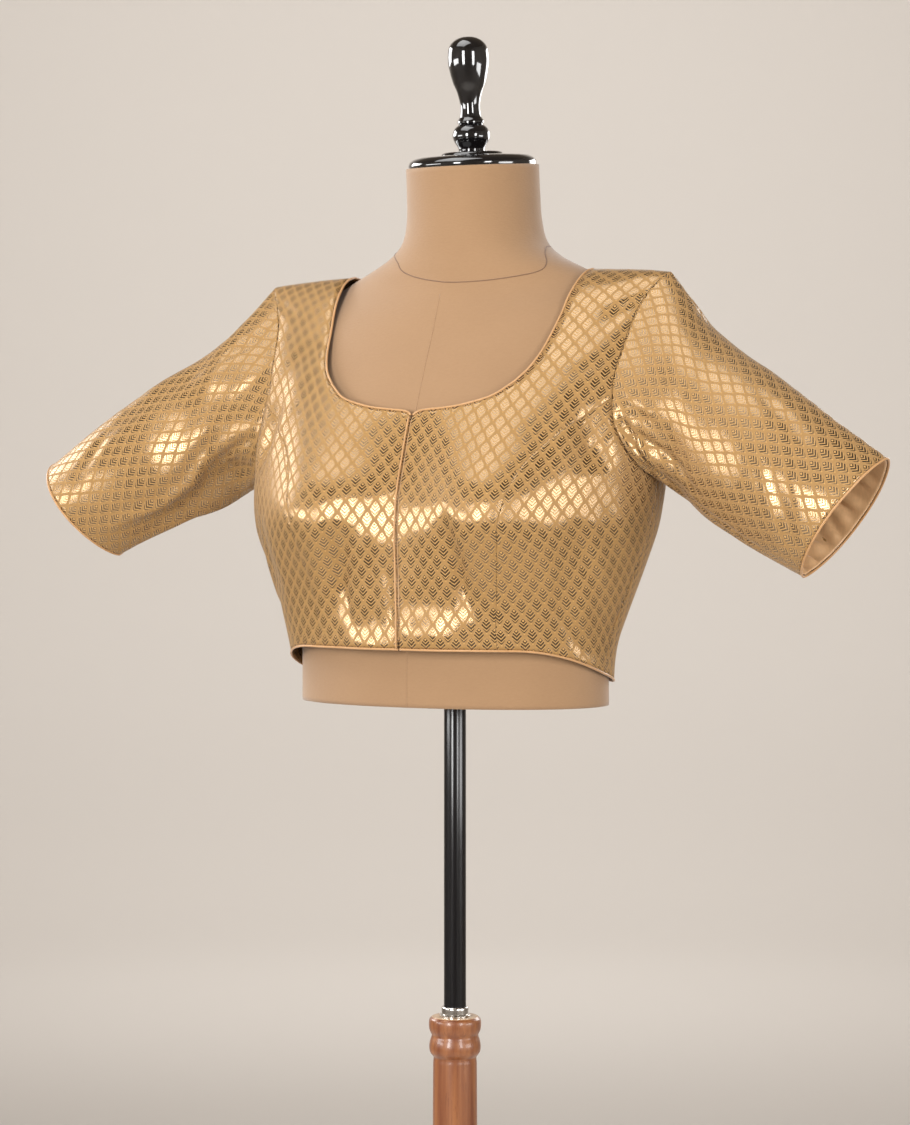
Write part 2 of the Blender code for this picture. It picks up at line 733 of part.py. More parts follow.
def dress_form(name, finish, collection):
    low, high = FORM_SECTIONS[0].height, FORM_SECTIONS[-1].height

    def place(u, v):
        turn = 360 * u
        angle = turn % 180 if turn % 180 <= 90 else 180 - turn % 180
        height = mix(low, high, v)
        side = 1 if turn <= 180 else -1
        is_back = 90 < turn < 270
        point = ring_point(FORM_SECTIONS, angle, height, is_back, side, FORM_CUP_RISE)
        middle = on_curve(FORM_SECTIONS, height)[3]
        tilt = math.tan(NECK_TILT) * soft_step(height, NECK_TILT_FROM, high)
        point.z += tilt * (point.y - middle)
        return point

    mesh = bmesh.new()
    grid(mesh, FORM_COLUMNS, FORM_ROWS, place)
    bmesh.ops.remove_doubles(mesh, verts=mesh.verts, dist=0.00005)
    bmesh.ops.holes_fill(mesh, edges=[e for e in mesh.edges if e.is_boundary], sides=0)
    bmesh.ops.recalc_face_normals(mesh, faces=mesh.faces)
    data = bpy.data.meshes.new(name)
    mesh.to_mesh(data)
    mesh.free()
    data.shade_smooth()
    return new_object(name, data, finish, collection)


def turned(name, outline, cyclic, finish, collection):
    """A shape turned on the lathe from its outline, given top to bottom down its outside."""
    mesh = bmesh.new()
    points = [mesh.verts.new((radius, 0.0, height)) for radius, height in outline]
    for first, second in zip(points, points[1:] + points[:1] if cyclic else points[1:]):
        mesh.edges.new((first, second))
    data = bpy.data.meshes.new(name)
    mesh.to_mesh(data)
    mesh.free()
    made = new_object(name, data, finish, collection)
    screw = made.modifiers.new("Lathe", "SCREW")
    screw.axis = "Z"
    screw.angle = math.tau
    screw.steps = TURNED_STEPS
    screw.render_steps = TURNED_STEPS
    screw.use_merge_vertices = True
    screw.merge_threshold = 0.00001
    return made


def cylinder(name, radius, low, high, finish, collection):
    mesh = bmesh.new()
    bmesh.ops.create_cone(
        mesh, cap_ends=True, segments=TURNED_STEPS, radius1=radius, radius2=radius, depth=high - low
    )
    data = bpy.data.meshes.new(name)
    mesh.to_mesh(data)
    mesh.free()
    made = new_object(name, data, finish, collection)
    made.location.z = (low + high) / 2
    return made


def stand(collection, wood, steel, nickel):
    turned("stand_base", BASE_OUTLINE, False, wood, collection)
    bore = POLE_RADIUS + POLE_GAP
    hollow = [(0.0, BORE_FLOOR), (bore, BORE_FLOOR), (bore, COLUMN_TOP)]
    turned("stand_column", hollow + COLUMN_OUTLINE + [(0.0, COLUMN_FOOT)], False, wood, collection)
    seat = COLUMN_TOP + FIT_GAP
    ferrule = [(bore, FERRULE_TOP), (FERRULE_RADIUS - 0.0006, FERRULE_TOP), (FERRULE_RADIUS, seat + 0.002)]
    ferrule += [(0.0138, seat + 0.0014), (0.0138, seat), (bore, seat)]
    turned("ferrule", ferrule, True, nickel, collection)
    cylinder("pole", POLE_RADIUS, POLE_FOOT, SOCKET_TOP - FIT_GAP, steel, collection)


def form_and_cap(collection, cutters, linen, lacquer):
    body = dress_form("dress_form", linen, collection)
    socket = cylinder(
        "socket_cutter", POLE_RADIUS + POLE_GAP, FORM_SECTIONS[0].height - 0.02, SOCKET_TOP, linen, cutters
    )
    socket.hide_render = True
    socket.display_type = "WIRE"
    cut = body.modifiers.new("Socket", "BOOLEAN")
    cut.operation = "DIFFERENCE"
    cut.object = socket
    top = FORM_SECTIONS[-1]
    tilt = bpy.data.objects.new("neck_top", None)
    collection.objects.link(tilt)
    tilt.location = (0.0, top.middle_y, top.height)
    tilt.rotation_euler.x = NECK_TILT
    cap = turned("neck_cap", CAP_OUTLINE, False, lacquer, collection)
    cap.parent = tilt
    finial = turned("finial", FINIAL_OUTLINE, False, lacquer, collection)
    finial.parent = tilt
    finial.location.z = CAP_TOP


def blouse(collection, brocade, satin):
    for side, name in ((1, "left"), (-1, "right")):
        panel(f"front_centre_{name}", inner_blocks(FRONT, side), brocade, collection)
        panel(f"front_side_{name}", outer_blocks(FRONT, side), brocade, collection)
        sleeve(f"sleeve_{name}", side, brocade, collection)
        sleeve_lining(f"sleeve_lining_{name}", side, satin, collection)
        cuff_piping(f"cuff_piping_{name}", side, satin, collection)
    halves = [block for side in (1, -1) for block in inner_blocks(BACK, side) + outer_blocks(BACK, side)]
    panel("back", halves, brocade, collection)
    front_lap("front_lap", satin, collection)
    neck_piping("neck_piping", satin, collection)
    hem_piping("hem_piping", satin, collection)
    front_edge_piping("front_edge_piping", satin, collection)


def main():
    for obj in list(bpy.data.objects):
        bpy.data.objects.remove(obj)
    parts = bpy.data.collections.new("blouse_on_form")
    cutters = bpy.data.collections.new("cutters")
    bpy.context.scene.collection.children.link(parts)
    bpy.context.scene.collection.children.link(cutters)
    brocade = material("gold leaf brocade", (0.55, 0.36, 0.15), 0.35, 0.5)
    satin = material("tan lining satin", (0.50, 0.30, 0.16), 0.45)
    linen = material("beige form jersey", (0.58, 0.37, 0.22), 0.85)
    lacquer = material("black lacquered wood", (0.006, 0.005, 0.005), 0.12)
    wood = material("varnished beech", (0.38, 0.16, 0.05), 0.30)
    steel = material("black enamelled steel", (0.012, 0.011, 0.012), 0.25, 0.3)
    nickel = material("nickel ferrule", (0.60, 0.58, 0.56), 0.18, 1.0)
    blouse(parts, brocade, satin)
    form_and_cap(parts, cutters, linen, lacquer)
    stand(parts, wood, steel, nickel)


main()
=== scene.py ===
import math
from functools import partial

import bmesh
import bpy
from mathutils import Matrix, Vector, noise


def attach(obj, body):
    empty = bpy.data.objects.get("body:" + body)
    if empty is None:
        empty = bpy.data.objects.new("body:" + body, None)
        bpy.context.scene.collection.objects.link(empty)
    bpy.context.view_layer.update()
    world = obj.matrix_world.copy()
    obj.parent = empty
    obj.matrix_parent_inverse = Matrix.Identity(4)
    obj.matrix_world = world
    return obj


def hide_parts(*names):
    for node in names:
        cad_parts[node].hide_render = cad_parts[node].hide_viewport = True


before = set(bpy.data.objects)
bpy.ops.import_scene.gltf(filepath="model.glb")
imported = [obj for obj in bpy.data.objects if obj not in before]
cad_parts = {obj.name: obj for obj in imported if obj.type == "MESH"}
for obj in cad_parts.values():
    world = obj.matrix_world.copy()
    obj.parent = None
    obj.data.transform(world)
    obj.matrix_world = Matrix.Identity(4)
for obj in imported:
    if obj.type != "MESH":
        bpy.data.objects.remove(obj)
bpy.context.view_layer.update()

print("frame loaded")


# Shapes. Lengths are metres, angles degrees, the front faces -Y and the wearer's left is +X.

def mix(start, end, share):
    return start + (end - start) * share


def softStep(value, low, high):
    share = max(0.0, min(1.0, (value - low) / (high - low)))
    return share * share * (3 - 2 * share)


def onCurve(rows, key):
    # the other columns of a table at this key, on a smooth curve through its rows
    last = len(rows) - 1
    index = max(0, min(last - 1, sum(row[0] <= key for row in rows) - 1))
    before, start = rows[max(0, index - 1)], rows[index]
    end, after = rows[index + 1], rows[min(last, index + 2)]
    span = end[0] - start[0]
    share = max(0.0, min(1.0, (key - start[0]) / span))
    rest = 1 - share
    found = []
    for b, s, e, a in list(zip(before, start, end, after))[1:]:
        leave = (e - b) / (end[0] - before[0]) * span
        arrive = (a - s) / (after[0] - start[0]) * span
        found.append(
            s * (1 + 2 * share) * rest * rest
            + leave * share * rest * rest
            + e * share * share * (3 - 2 * share)
            - arrive * share * share * rest
        )
    return found


blouse = {
    "wall": 0.0012,
    "seamHalfGap": 0.00008,
    "shoulderHalfGap": 0.0005,
    "shoulderSeam": (0.0084, 0.030, 0.012),  # from how far under the ridge, middle y, reach
    "seamRoll": (0.0005, 0.0022),  # how deep the edges roll into a seam, and from how far
    "pucker": (0.5, 170),  # how uneven the roll is, and how fine
    "ripples": [(0.0005, 38.0, (0, 0, 0)), (0.0009, 14.0, (3, 1, 7))],  # depth, fineness, start
    "hemFront": 0.949,
    "hemDrop": 0.031,
    "hemAngles": (38.0, 118.0),
    "ridge": 1.279,
    "underarm": 1.096,
    "notch": 1.162,
    "shoulderTip": 0.197,
    "shoulderDrop": 0.007,
    "dropFrom": 1.20,
    "frontGap": 0.0014,
    "openingCorner": (0.0062, 0.0032),  # how far the fronts' corners are turned down, and over what width
    "cup": (0.088, 1.066, 0.027, 0.040, 0.045, 0.036),  # x, height, rise, width, reach above and below
    "edgePull": 3,
    "gather": 0.75,
    "sideGather": 0.7,
    "sideShift": (0.005, 0.006),  # where the side panels' repeat begins, and its lean, against the centre's
    "sideLean": 0.05,
    "neckColumns": 28,
    "strapColumns": 16,
    "sideColumns": 40,
    "rows": 66,
    "strapRows": 34,
    # height, half width, front depth, back depth, middle y, squareness, side forward
    "rings": [
        (0.9000, 0.1470, 0.0985, 0.0975, -0.0070, 2.20, 0.000),
        (0.9500, 0.1520, 0.0995, 0.0990, -0.0060, 2.20, 0.000),
        (1.0000, 0.1690, 0.1040, 0.1010, -0.0030, 2.25, 0.000),
        (1.0500, 0.1870, 0.1070, 0.1050, 0.0000, 2.30, 0.000),
        (1.0800, 0.1920, 0.1055, 0.1070, 0.0020, 2.30, 0.000),
        (1.1100, 0.1935, 0.1000, 0.1070, 0.0050, 2.30, 0.001),
        (1.1520, 0.1910, 0.0890, 0.1045, 0.0085, 2.30, 0.004),
        (1.1890, 0.1905, 0.0745, 0.0960, 0.0145, 2.30, 0.007),
        (1.2050, 0.1910, 0.0655, 0.0910, 0.0180, 2.30, 0.009),
        (1.2360, 0.1910, 0.0480, 0.0760, 0.0260, 2.40, 0.012),
        (1.2540, 0.1955, 0.0375, 0.0620, 0.0300, 2.50, 0.014),
        (1.2670, 0.2020, 0.0265, 0.0420, 0.0340, 2.60, 0.015),
        (1.2745, 0.2075, 0.0160, 0.0245, 0.0362, 2.60, 0.016),
        (1.2777, 0.2100, 0.0080, 0.0125, 0.0375, 2.60, 0.016),
        (1.2790, 0.2110, 0.0000, 0.0000, 0.0380, 2.60, 0.016),
    ],
}
neckShare = blouse["neckColumns"] / (blouse["neckColumns"] + blouse["strapColumns"])
# One half of the front or back: neckline, shaped seam and armhole, each read by its first column
frontHalf = {
    "isBack": False,
    "neckLow": [(0.0, 1.1520), (0.036, 1.1550), (0.056, 1.1590), (0.075, 1.1655), (0.090, 1.1770)],
    "neckRise": [
        (1.177, 0.0900), (1.189, 0.1000), (1.205, 0.1070), (1.236, 0.1138), (1.252, 0.1158), (1.279, 0.1200),
    ],
    "line": [
        (0.945, 0.0862), (0.973, 0.0866), (1.012, 0.0920), (1.035, 0.0968), (1.066, 0.1020),
        (1.082, 0.1054), (1.103, 0.1115), (1.122, 0.1240), (1.140, 0.1430), (1.162, 0.1687),
    ],
    "armhole": [(1.162, 60.8), (1.180, 60.4), (1.210, 62.5), (1.236, 65.0), (1.256, 66.0), (1.279, 66.0)],
}
backHalf = {
    "isBack": True,
    "neckLow": [(0.0, 1.160), (0.036, 1.1625), (0.062, 1.170), (0.082, 1.181), (0.096, 1.198)],
    "neckRise": [(1.198, 0.0960), (1.215, 0.1030), (1.240, 0.1100), (1.260, 0.1150), (1.279, 0.1200)],
    "line": [(0.920, 0.0760), (1.000, 0.0850), (1.060, 0.1050), (1.110, 0.1350), (1.162, 0.1710)],
    "armhole": [(1.162, 62.9), (1.180, 63.5), (1.210, 65.0), (1.236, 66.0), (1.279, 66.0)],
}
# Folds of the body, on each quarter (back or not, side): half width, depth, then the places that the fold
# runs through, as distance from the centre and height. A minus depth is a ridge. The solids' own come first.
bodyFolds = {
    (False, 1): [
        (0.011, 0.0042, (0.046, 1.064), (0.068, 0.972)),
        (0.01, 0.0036, (0.152, 1.158), (0.163, 1.095)),
        (0.011, 0.0032, (0.16, 1.06), (0.132, 0.96)),
        # under and beside the left cup
        (0.0045, 0.0024, (0.048, 1.066), (0.059, 1.03), (0.059, 1.002), (0.068, 0.974)),
        (0.004, 0.001, (0.033, 1.04), (0.038, 0.985)),
        (0.0048, 0.0017, (0.156, 1.05), (0.159, 0.991), (0.15, 0.94)),
        (0.0046, 0.0015, (0.132, 0.992), (0.148, 0.936)),
        (0.0055, 0.0019, (0.169, 1.085), (0.172, 1.025), (0.16, 0.945)),
        (0.004, 0.001, (0.125, 1.03), (0.12, 0.975)),
        # the hem's own soft swell, beside the opening
        (0.015, -0.0036, (0.002, 0.957), (0.03, 0.961), (0.056, 0.955)),
        # from the left armhole
        (0.0048, 0.0015, (0.154, 1.142), (0.1605, 1.122), (0.173, 1.096)),
        (0.0036, 0.0008, (0.17, 1.14), (0.15, 1.098)),
        (0.007, 0.0016, (0.189, 1.256), (0.1786, 1.247), (0.142, 1.22)),
        (0.0045, 0.0012, (0.188, 1.266), (0.142, 1.247)),
        (0.005, 0.001, (0.166, 1.2), (0.134, 1.18)),
    ],
    (False, -1): [
        (0.012, 0.005, (0.05, 1.058), (0.062, 0.968)),
        (0.009, 0.005, (0.148, 1.168), (0.166, 1.1)),
        (0.011, 0.0032, (0.164, 1.066), (0.136, 0.975)),
        (0.012, -0.0022, (0.003, 0.956), (0.026, 0.95), (0.06, 0.955)),
        # under and beside the right cup
        (0.005, 0.0024, (0.045, 1.046), (0.0567, 1.003), (0.048, 0.96)),
        (0.0038, 0.0015, (0.025, 1.042), (0.022, 0.95)),
        (0.003, 0.0011, (0.0085, 1.02), (0.006, 0.955)),
        (0.005, 0.0016, (0.158, 1.048), (0.15, 0.94)),
        (0.005, 0.0017, (0.172, 1.08), (0.164, 0.95)),
        # from the right armhole and across to the neckline's corner
        (0.0028, 0.0014, (0.128, 1.154), (0.095, 1.177)),
        (0.0026, 0.0011, (0.131, 1.178), (0.101, 1.189)),
        (0.0085, 0.002, (0.116, 1.224), (0.168, 1.168)),
        (0.005, 0.0022, (0.158, 1.14), (0.173, 1.09)),
        (0.0045, 0.0012, (0.185, 1.258), (0.148, 1.238)),
    ],
    (True, 1): [
        (0.01, 0.0045, (0.15, 1.165), (0.165, 1.1)),
        (0.012, 0.003, (0.1, 1.02), (0.12, 0.95)),
        # drawn from the armhole, and slack at the waist
        (0.006, 0.0024, (0.166, 1.152), (0.115, 1.104)),
        (0.005, 0.0016, (0.17, 1.118), (0.122, 1.076)),
        (0.0055, 0.0018, (0.048, 1.064), (0.056, 0.99), (0.05, 0.93)),
        (0.0045, 0.0014, (0.15, 1.05), (0.138, 0.925)),
        (0.005, 0.0012, (0.182, 1.25), (0.146, 1.222)),
    ],
    (True, -1): [
        (0.01, 0.0045, (0.147, 1.17), (0.168, 1.095)),
        (0.012, 0.003, (0.096, 1.03), (0.122, 0.955)),
        # drawn from the armhole, and slack at the waist
        (0.0055, 0.0022, (0.168, 1.146), (0.118, 1.108)),
        (0.005, 0.0018, (0.171, 1.11), (0.126, 1.064)),
        (0.006, 0.0016, (0.042, 1.056), (0.05, 0.932)),
        (0.0045, 0.0015, (0.146, 1.046), (0.132, 0.928)),
        (0.003, 0.001, (0.012, 1.03), (0.015, 0.935)),
        (0.005, 0.0013, (0.184, 1.256), (0.143, 1.23)),
    ],
}
sleeve = {
    # the solids' troughs by side: angle round from the top edge through the front, start, end, spread, depth
    "troughs": {
        1: [
            (118, -0.06, 0.42, 13, 0.0042),
            (150, -0.06, 0.34, 11, 0.0050),
            (62, 0.55, 1.10, 15, 0.0030),
            (240, -0.06, 0.40, 13, 0.0050),
        ],
        -1: [
            (122, -0.06, 0.46, 12, 0.0050),
            (152, -0.06, 0.30, 10, 0.0045),
            (48, 0.20, 0.85, 15, 0.0030),
            (236, -0.06, 0.40, 13, 0.0050),
        ],
    },
    "strapSteps": 8,
    "lowSteps": 7,
    "rightLift": 0.012,
    "backFullness": 0.5,
    "ripples": [(0.0007, 30.0, (0, 0, 0)), (0.0010, 12.0, (0, 0, 0))],
    "underGap": 0.0001,  # how far the head stays off its seam, under the arm and at the shoulder
    "topGap": 0.0004,
    "liningWave": (0.0010, 7, 40, 0.6),  # depth, waves round, unevenness in degrees, loss at the cuff
    "liningGap": 0.0002,
    "creaseScale": (0.00098, 0.24),  # metres for a degree round, and for the whole length
    "liningScale": (0.00070, 0.24),
    "axis": ((0.20, 0.015, 1.185), (0.372, -0.0245, 1.062)),  # from the shoulder to the cuff
    "columns": 150,
    "rows": 96,
    "liningFrom": 0.72,
    "liningRows": 34,
    "liningWall": 0.0010,
    "fitGap": 0.0003,
    # along, top x, top z, bottom x, bottom z, half depth, middle y, pinch
    "rings": [
        (0.10, 0.2040, 1.2640, 0.2040, 1.0880, 0.0625, 0.0228, 1.00),
        (0.20, 0.2165, 1.2480, 0.2130, 1.0800, 0.0630, 0.0205, 1.00),
        (0.30, 0.2330, 1.2270, 0.2240, 1.0710, 0.0620, 0.0150, 1.00),
        (0.42, 0.2610, 1.2065, 0.2400, 1.0600, 0.0585, 0.0065, 1.02),
        (0.58, 0.3010, 1.1825, 0.2655, 1.0475, 0.0550, -0.0080, 1.06),
        (0.74, 0.3420, 1.1555, 0.2920, 1.0345, 0.0510, -0.0180, 1.12),
        (0.88, 0.3785, 1.1305, 0.3160, 1.0225, 0.0470, -0.0245, 1.20),
        (1.00, 0.4075, 1.1100, 0.3360, 1.0130, 0.0445, -0.0265, 1.28),
    ],
}
# Creases of the sleeves by side, as for the body; their places are degrees round from the top edge through
# the front, and the share of the way from the armhole to the cuff
sleeveCreases = {
    1: [
        # a soft dent before the cuff, folds gathered under the arm, and streaks off the cap
        (0.007, 0.0024, (80, 0.74), (108, 0.87), (134, 0.96)),
        (0.0085, 0.0014, (82, 0.48), (110, 0.64)),
        (0.0045, 0.0042, (104, 0.04), (130, 0.07), (148, 0.13), (160, 0.2)),
        (0.0042, 0.0028, (118, 0.05), (124, 0.3), (136, 0.5)),
        (0.0036, 0.0022, (97, 0.04), (104, 0.24)),
        (0.003, 0.0013, (144, 0.33), (152, 0.66), (157, 0.94)),
        (0.0028, 0.0012, (154, 0.38), (162, 0.7), (167, 0.9)),
        (0.003, 0.0013, (4, 0.09), (-12, 0.34)),
        (0.0026, 0.0011, (14, 0.07), (0, 0.27)),
        (0.006, 0.0014, (38, 0.58), (52, 0.86)),
        (0.005, 0.0018, (-36, 0.05), (-58, 0.44)),
        (0.0055, 0.0024, (-108, 0.04), (-96, 0.5)),
        (0.0045, 0.0022, (-140, 0.05), (-150, 0.62)),
        (0.0065, 0.002, (-78, 0.72), (-112, 0.94)),
    ],
    -1: [
        # a long ridge where the cloth turns under, with the slack below it
        (0.0056, -0.0044, (112, 0.05), (119, 0.24), (124, 0.38), (133, 0.46), (139, 0.62), (133, 0.8),
         (131, 0.94)),
        (0.016, 0.0098, (143, 0.07), (145, 0.36), (158, 0.6), (156, 0.88)),
        (0.0032, -0.0022, (128, 0.05), (131, 0.2), (138, 0.31)),
        (0.011, 0.0016, (96, 0.1), (74, 0.52), (70, 0.72)),
        (0.004, 0.0016, (60, 0.04), (52, 0.28)),
        (0.0036, 0.0016, (84, 0.04), (88, 0.2)),
        (0.0028, 0.0012, (2, 0.09), (-14, 0.32)),
        (0.006, 0.0014, (52, 0.72), (84, 0.93)),
        (0.0055, 0.0022, (-104, 0.04), (-92, 0.46)),
        (0.005, 0.0022, (-136, 0.05), (-146, 0.6)),
        (0.006, 0.0018, (-70, 0.66), (-104, 0.92)),
    ],
}
# Creases of the linings, in the same measures
liningFolds = {
    1: [
        (0.003, 0.0042, (-172, 0.985), (-160, 0.8)),
        (0.0022, 0.0038, (-150, 0.99), (-152, 0.86)),
        (0.0034, 0.0042, (-131, 0.98), (-141, 0.78)),
        (0.002, 0.0032, (-117, 0.985), (-112, 0.88)),
        (0.0028, 0.0042, (-101, 0.985), (-92, 0.8)),
        (0.0024, 0.0038, (-82, 0.98), (-86, 0.84)),
        (0.003, 0.003, (-60, 0.985), (-52, 0.82)),
        (0.0026, 0.003, (160, 0.985), (150, 0.84)),
    ],
    -1: [
        (0.003, 0.0034, (-168, 0.985), (-158, 0.82)),
        (0.0024, 0.0028, (-140, 0.985), (-147, 0.8)),
        (0.0032, 0.0036, (-112, 0.98), (-104, 0.79)),
        (0.0022, 0.0024, (-88, 0.985), (-90, 0.86)),
        (0.0028, 0.003, (-62, 0.985), (-55, 0.81)),
        (0.0026, 0.003, (156, 0.985), (148, 0.83)),
        (0.0026, 0.0024, (60, 0.985), (66, 0.85)),
    ],
}


# The form of one fold: how many half widths it reaches, its low shoulders, and where its ends fade
fold = {"reach": 3.4, "shoulder": 0.28, "shoulderAt": 1.9, "fadeIn": (-0.12, 0.30), "fadeOut": (0.60, 1.05)}


def foldDepth(folds, x, y, scale=(1, 1)):
    # how deep the folds leave this place: a soft trough with low shoulders, fading at both ends
    total = 0.0
    x, y = x * scale[0], y * scale[1]
    for halfWidth, depth, *run in folds:
        points = [(p * scale[0], q * scale[1]) for p, q in run]
        reach = fold["reach"] * halfWidth
        if not min(p for p, _ in points) - reach < x < max(p for p, _ in points) + reach:
            continue
        if not min(q for _, q in points) - reach < y < max(q for _, q in points) + reach:
            continue
        nearest, at, gone = reach, 0.0, 0.0
        for (x0, y0), (x1, y1) in zip(points, points[1:]):
            length = math.hypot(x1 - x0, y1 - y0)
            share = ((x - x0) * (x1 - x0) + (y - y0) * (y1 - y0)) / length**2
            share = max(0.0, min(1.0, share))
            off = math.hypot(x - mix(x0, x1, share), y - mix(y0, y1, share))
            if off < nearest:
                nearest, at = off, gone + share * length
            gone += length
        t = nearest / halfWidth
        ends = softStep(at / gone, *fold["fadeIn"]) * (1 - softStep(at / gone, *fold["fadeOut"]))
        shoulder = fold["shoulder"] * math.exp(-((t - fold["shoulderAt"]) ** 2))
        total += depth * ends * (math.exp(-t * t) - shoulder)
    return total


def ripple(point, waves):
    # the cloth's soft unevenness
    return sum(depth * noise.noise(point * fineness + Vector(start)) for depth, fineness, start in waves)


def cupRise(cup, x, height):
    middle, middleHeight, rise, width, above, below = cup
    reach = above if height > middleHeight else below
    return rise * math.exp(-(((x - middle) / width) ** 2 + ((height - middleHeight) / reach) ** 2) / 2)


def ringPoint(shape, angle, height, half, side):
    # angle is in a quarter: 0 at the half's own centre, 90 at the side
    halfWidth, front, back, middleY, squareness, forward = onCurve(shape["rings"], height)
    turn = math.radians(angle)
    across = abs(math.sin(turn)) ** (2 / squareness)
    along = abs(math.cos(turn)) ** (2 / squareness)
    x = halfWidth * across
    y = middleY - forward * across * across
    y += back * along if half["isBack"] else -front * along - cupRise(shape["cup"], x, height)
    return Vector((side * x, y, height))


def barePoint(angle, height, half, side):
    point = ringPoint(blouse, angle, height, half, side)
    slope = (abs(point.x) / blouse["shoulderTip"]) ** 4
    point.z -= blouse["shoulderDrop"] * slope * softStep(height, blouse["dropFrom"], blouse["ridge"])
    return point


def outward(angle, height, half, side):
    # the direction away from the cloth, from its neighbours across and up
    low, high = max(0.0, angle - 0.3), min(90.0, angle + 0.3)
    under = min(height, blouse["ridge"] - 0.001)
    across = barePoint(high, under, half, side) - barePoint(low, under, half, side)
    up = barePoint(angle, under + 0.001, half, side) - barePoint(angle, under - 0.001, half, side)
    found = across.cross(up).normalized()
    return found if (side > 0) != half["isBack"] else -found


def clothPoint(angle, height, half, side, inside=0.0):
    point = barePoint(angle, height, half, side)
    sunk = inside + foldDepth(bodyFolds[half["isBack"], side], abs(point.x), point.z)
    sunk += ripple(point, blouse["ripples"])
    return point - outward(angle, height, half, side) * sunk


def angleAt(x, height):
    halfWidth, _, _, _, squareness, _ = onCurve(blouse["rings"], height)
    return math.degrees(math.asin(min(1.0, x / halfWidth) ** (squareness / 2)))


def hemHeight(angle, half):
    fromFront = 180 - angle if half["isBack"] else angle
    return blouse["hemFront"] - blouse["hemDrop"] * softStep(fromFront, *blouse["hemAngles"])


def lineAngle(half, height):
    return angleAt(onCurve(half["line"], height)[0], height)


def armholeLow(half, share):
    turn = math.radians(90 * share)
    low = blouse["notch"] - (blouse["notch"] - blouse["underarm"]) * math.sin(turn)
    return mix(half["armhole"][0][1], 90, 1 - math.cos(turn)), low


def neckEdge(half, share):
    x = max(half["neckLow"][-1][0] * share, 0.0 if half["isBack"] else blouse["frontGap"] / 2)
    height = onCurve(half["neckLow"], x)[0]
    if not half["isBack"]:
        dip, reach = blouse["openingCorner"]
        height -= dip * math.exp(-x / reach)
    return angleAt(x, height), height


def strapEdge(half, up, atNeck):
    bottom = half["neckRise"][0][0] if atNeck else blouse["notch"]
    height = mix(blouse["ridge"], bottom, (1 - up) ** 2)
    if atNeck:
        return angleAt(onCurve(half["neckRise"], height)[0], height), height
    return onCurve(half["armhole"], height)[0], height


def innerTop(half, share):
    if share <= neckShare:
        return neckEdge(half, share / neckShare)
    rest = (share - neckShare) / (1 - neckShare)
    neck, arm = neckEdge(half, 1), strapEdge(half, 0, False)
    return mix(neck[0], arm[0], rest), mix(neck[1], arm[1], rest)


def upColumn(half, column, top, up):
    # column(height) gives an angle; near the top it is pulled over to the edge's own place
    topAngle, topHeight = top
    height = mix(hemHeight(column(blouse["hemFront"]), half), topHeight, up)
    return column(height) + up ** blouse["edgePull"] * (topAngle - column(topHeight)), height


def innerPlace(half, across, up):
    gap = 0.0 if half["isBack"] else blouse["frontGap"] / 2

    def column(height):
        return mix(angleAt(gap, height), lineAngle(half, height), across)

    return upColumn(half, column, innerTop(half, across), up)


def outerPlace(half, across, up):
    def column(height):
        return mix(lineAngle(half, height), 90, across)

    return upColumn(half, column, armholeLow(half, across), up)


def strapPlace(half, across, up):
    neck, arm = strapEdge(half, up, True), strapEdge(half, up, False)
    return mix(neck[0], arm[0], across), mix(neck[1], arm[1], across)


def wayAlong(points):
    # the length of cloth up to each point
    ways = [0.0]
    for before, point in zip(points, points[1:]):
        ways.append(ways[-1] + (point - before).length)
    return ways


# The cloth is measured at each of these degrees and heights, which are closer together at the shoulder
layStep = 3.0
layHeights = [0.90 + 0.01 * k for k in range(36)] + [1.256, 1.262, 1.267, 1.271, 1.2745, 1.277, 1.2785, 1.279]


def layOut(half):
    # lengths of cloth across from the centre and up from the hem, so that the weave keeps its size
    angles = [layStep * k for k in range(31)]
    points = [[barePoint(angle, height, half, 1) for angle in angles] for height in layHeights]
    up = [wayAlong(line) for line in zip(*points)]
    return [wayAlong(line) for line in points], list(zip(*up))


frontLay, backLay = layOut(frontHalf), layOut(backHalf)


def clothUv(angle, height, half, side, shift, lean):
    row = max(0, min(len(layHeights) - 2, sum(h <= height for h in layHeights) - 1))
    column = int(max(0, min(89, angle)) / layStep)
    r = (height - layHeights[row]) / (layHeights[row + 1] - layHeights[row])
    c = angle / layStep - column
    u, v = (
        mix(mix(*table[row][column:column + 2], c), mix(*table[row + 1][column:column + 2], c), r)
        for table in (backLay if half["isBack"] else frontLay)
    )
    u *= side
    return u + shift[0] + lean * v, v + shift[1] - lean * u


def gather(share):
    # columns come closer together towards 1, where the edge rolls into its seam
    return mix(share, math.sin(math.pi / 2 * share), blouse["gather"])


def innerShare(share):
    if share <= neckShare:
        return neckShare * (1 - gather(1 - share / neckShare))
    return neckShare + (1 - neckShare) * gather((share - neckShare) / (1 - neckShare))


def sideShare(share):
    return share - blouse["sideGather"] * math.sin(math.tau * share) / math.tau


def addObject(name, data):
    obj = bpy.data.objects.new(name, data)
    bpy.context.scene.collection.objects.link(obj)
    return obj


def newPiece(name, data, material, node=None, body="form"):
    obj = addObject(name, data)
    data.materials.append(material)
    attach(obj, body)
    if node:
        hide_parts(node)
    return obj


def clothPiece(name, mesh, material, node, thickness, even=True):
    # a shell that gets its wall on the inner side
    print(name, "area", round(sum(face.calc_area() for face in mesh.faces), 4))
    obj = newPiece(name, asMesh(name, mesh), material, node)
    wall = obj.modifiers.new("Wall", "SOLIDIFY")
    wall.thickness = thickness
    wall.offset = -1
    wall.use_even_offset = even
    obj.data.uv_layers[0].name = "cloth"
    return obj


def asMesh(name, mesh):
    # frees the bmesh
    data = bpy.data.meshes.new(name)
    mesh.to_mesh(data)
    mesh.free()
    data.shade_smooth()
    return data


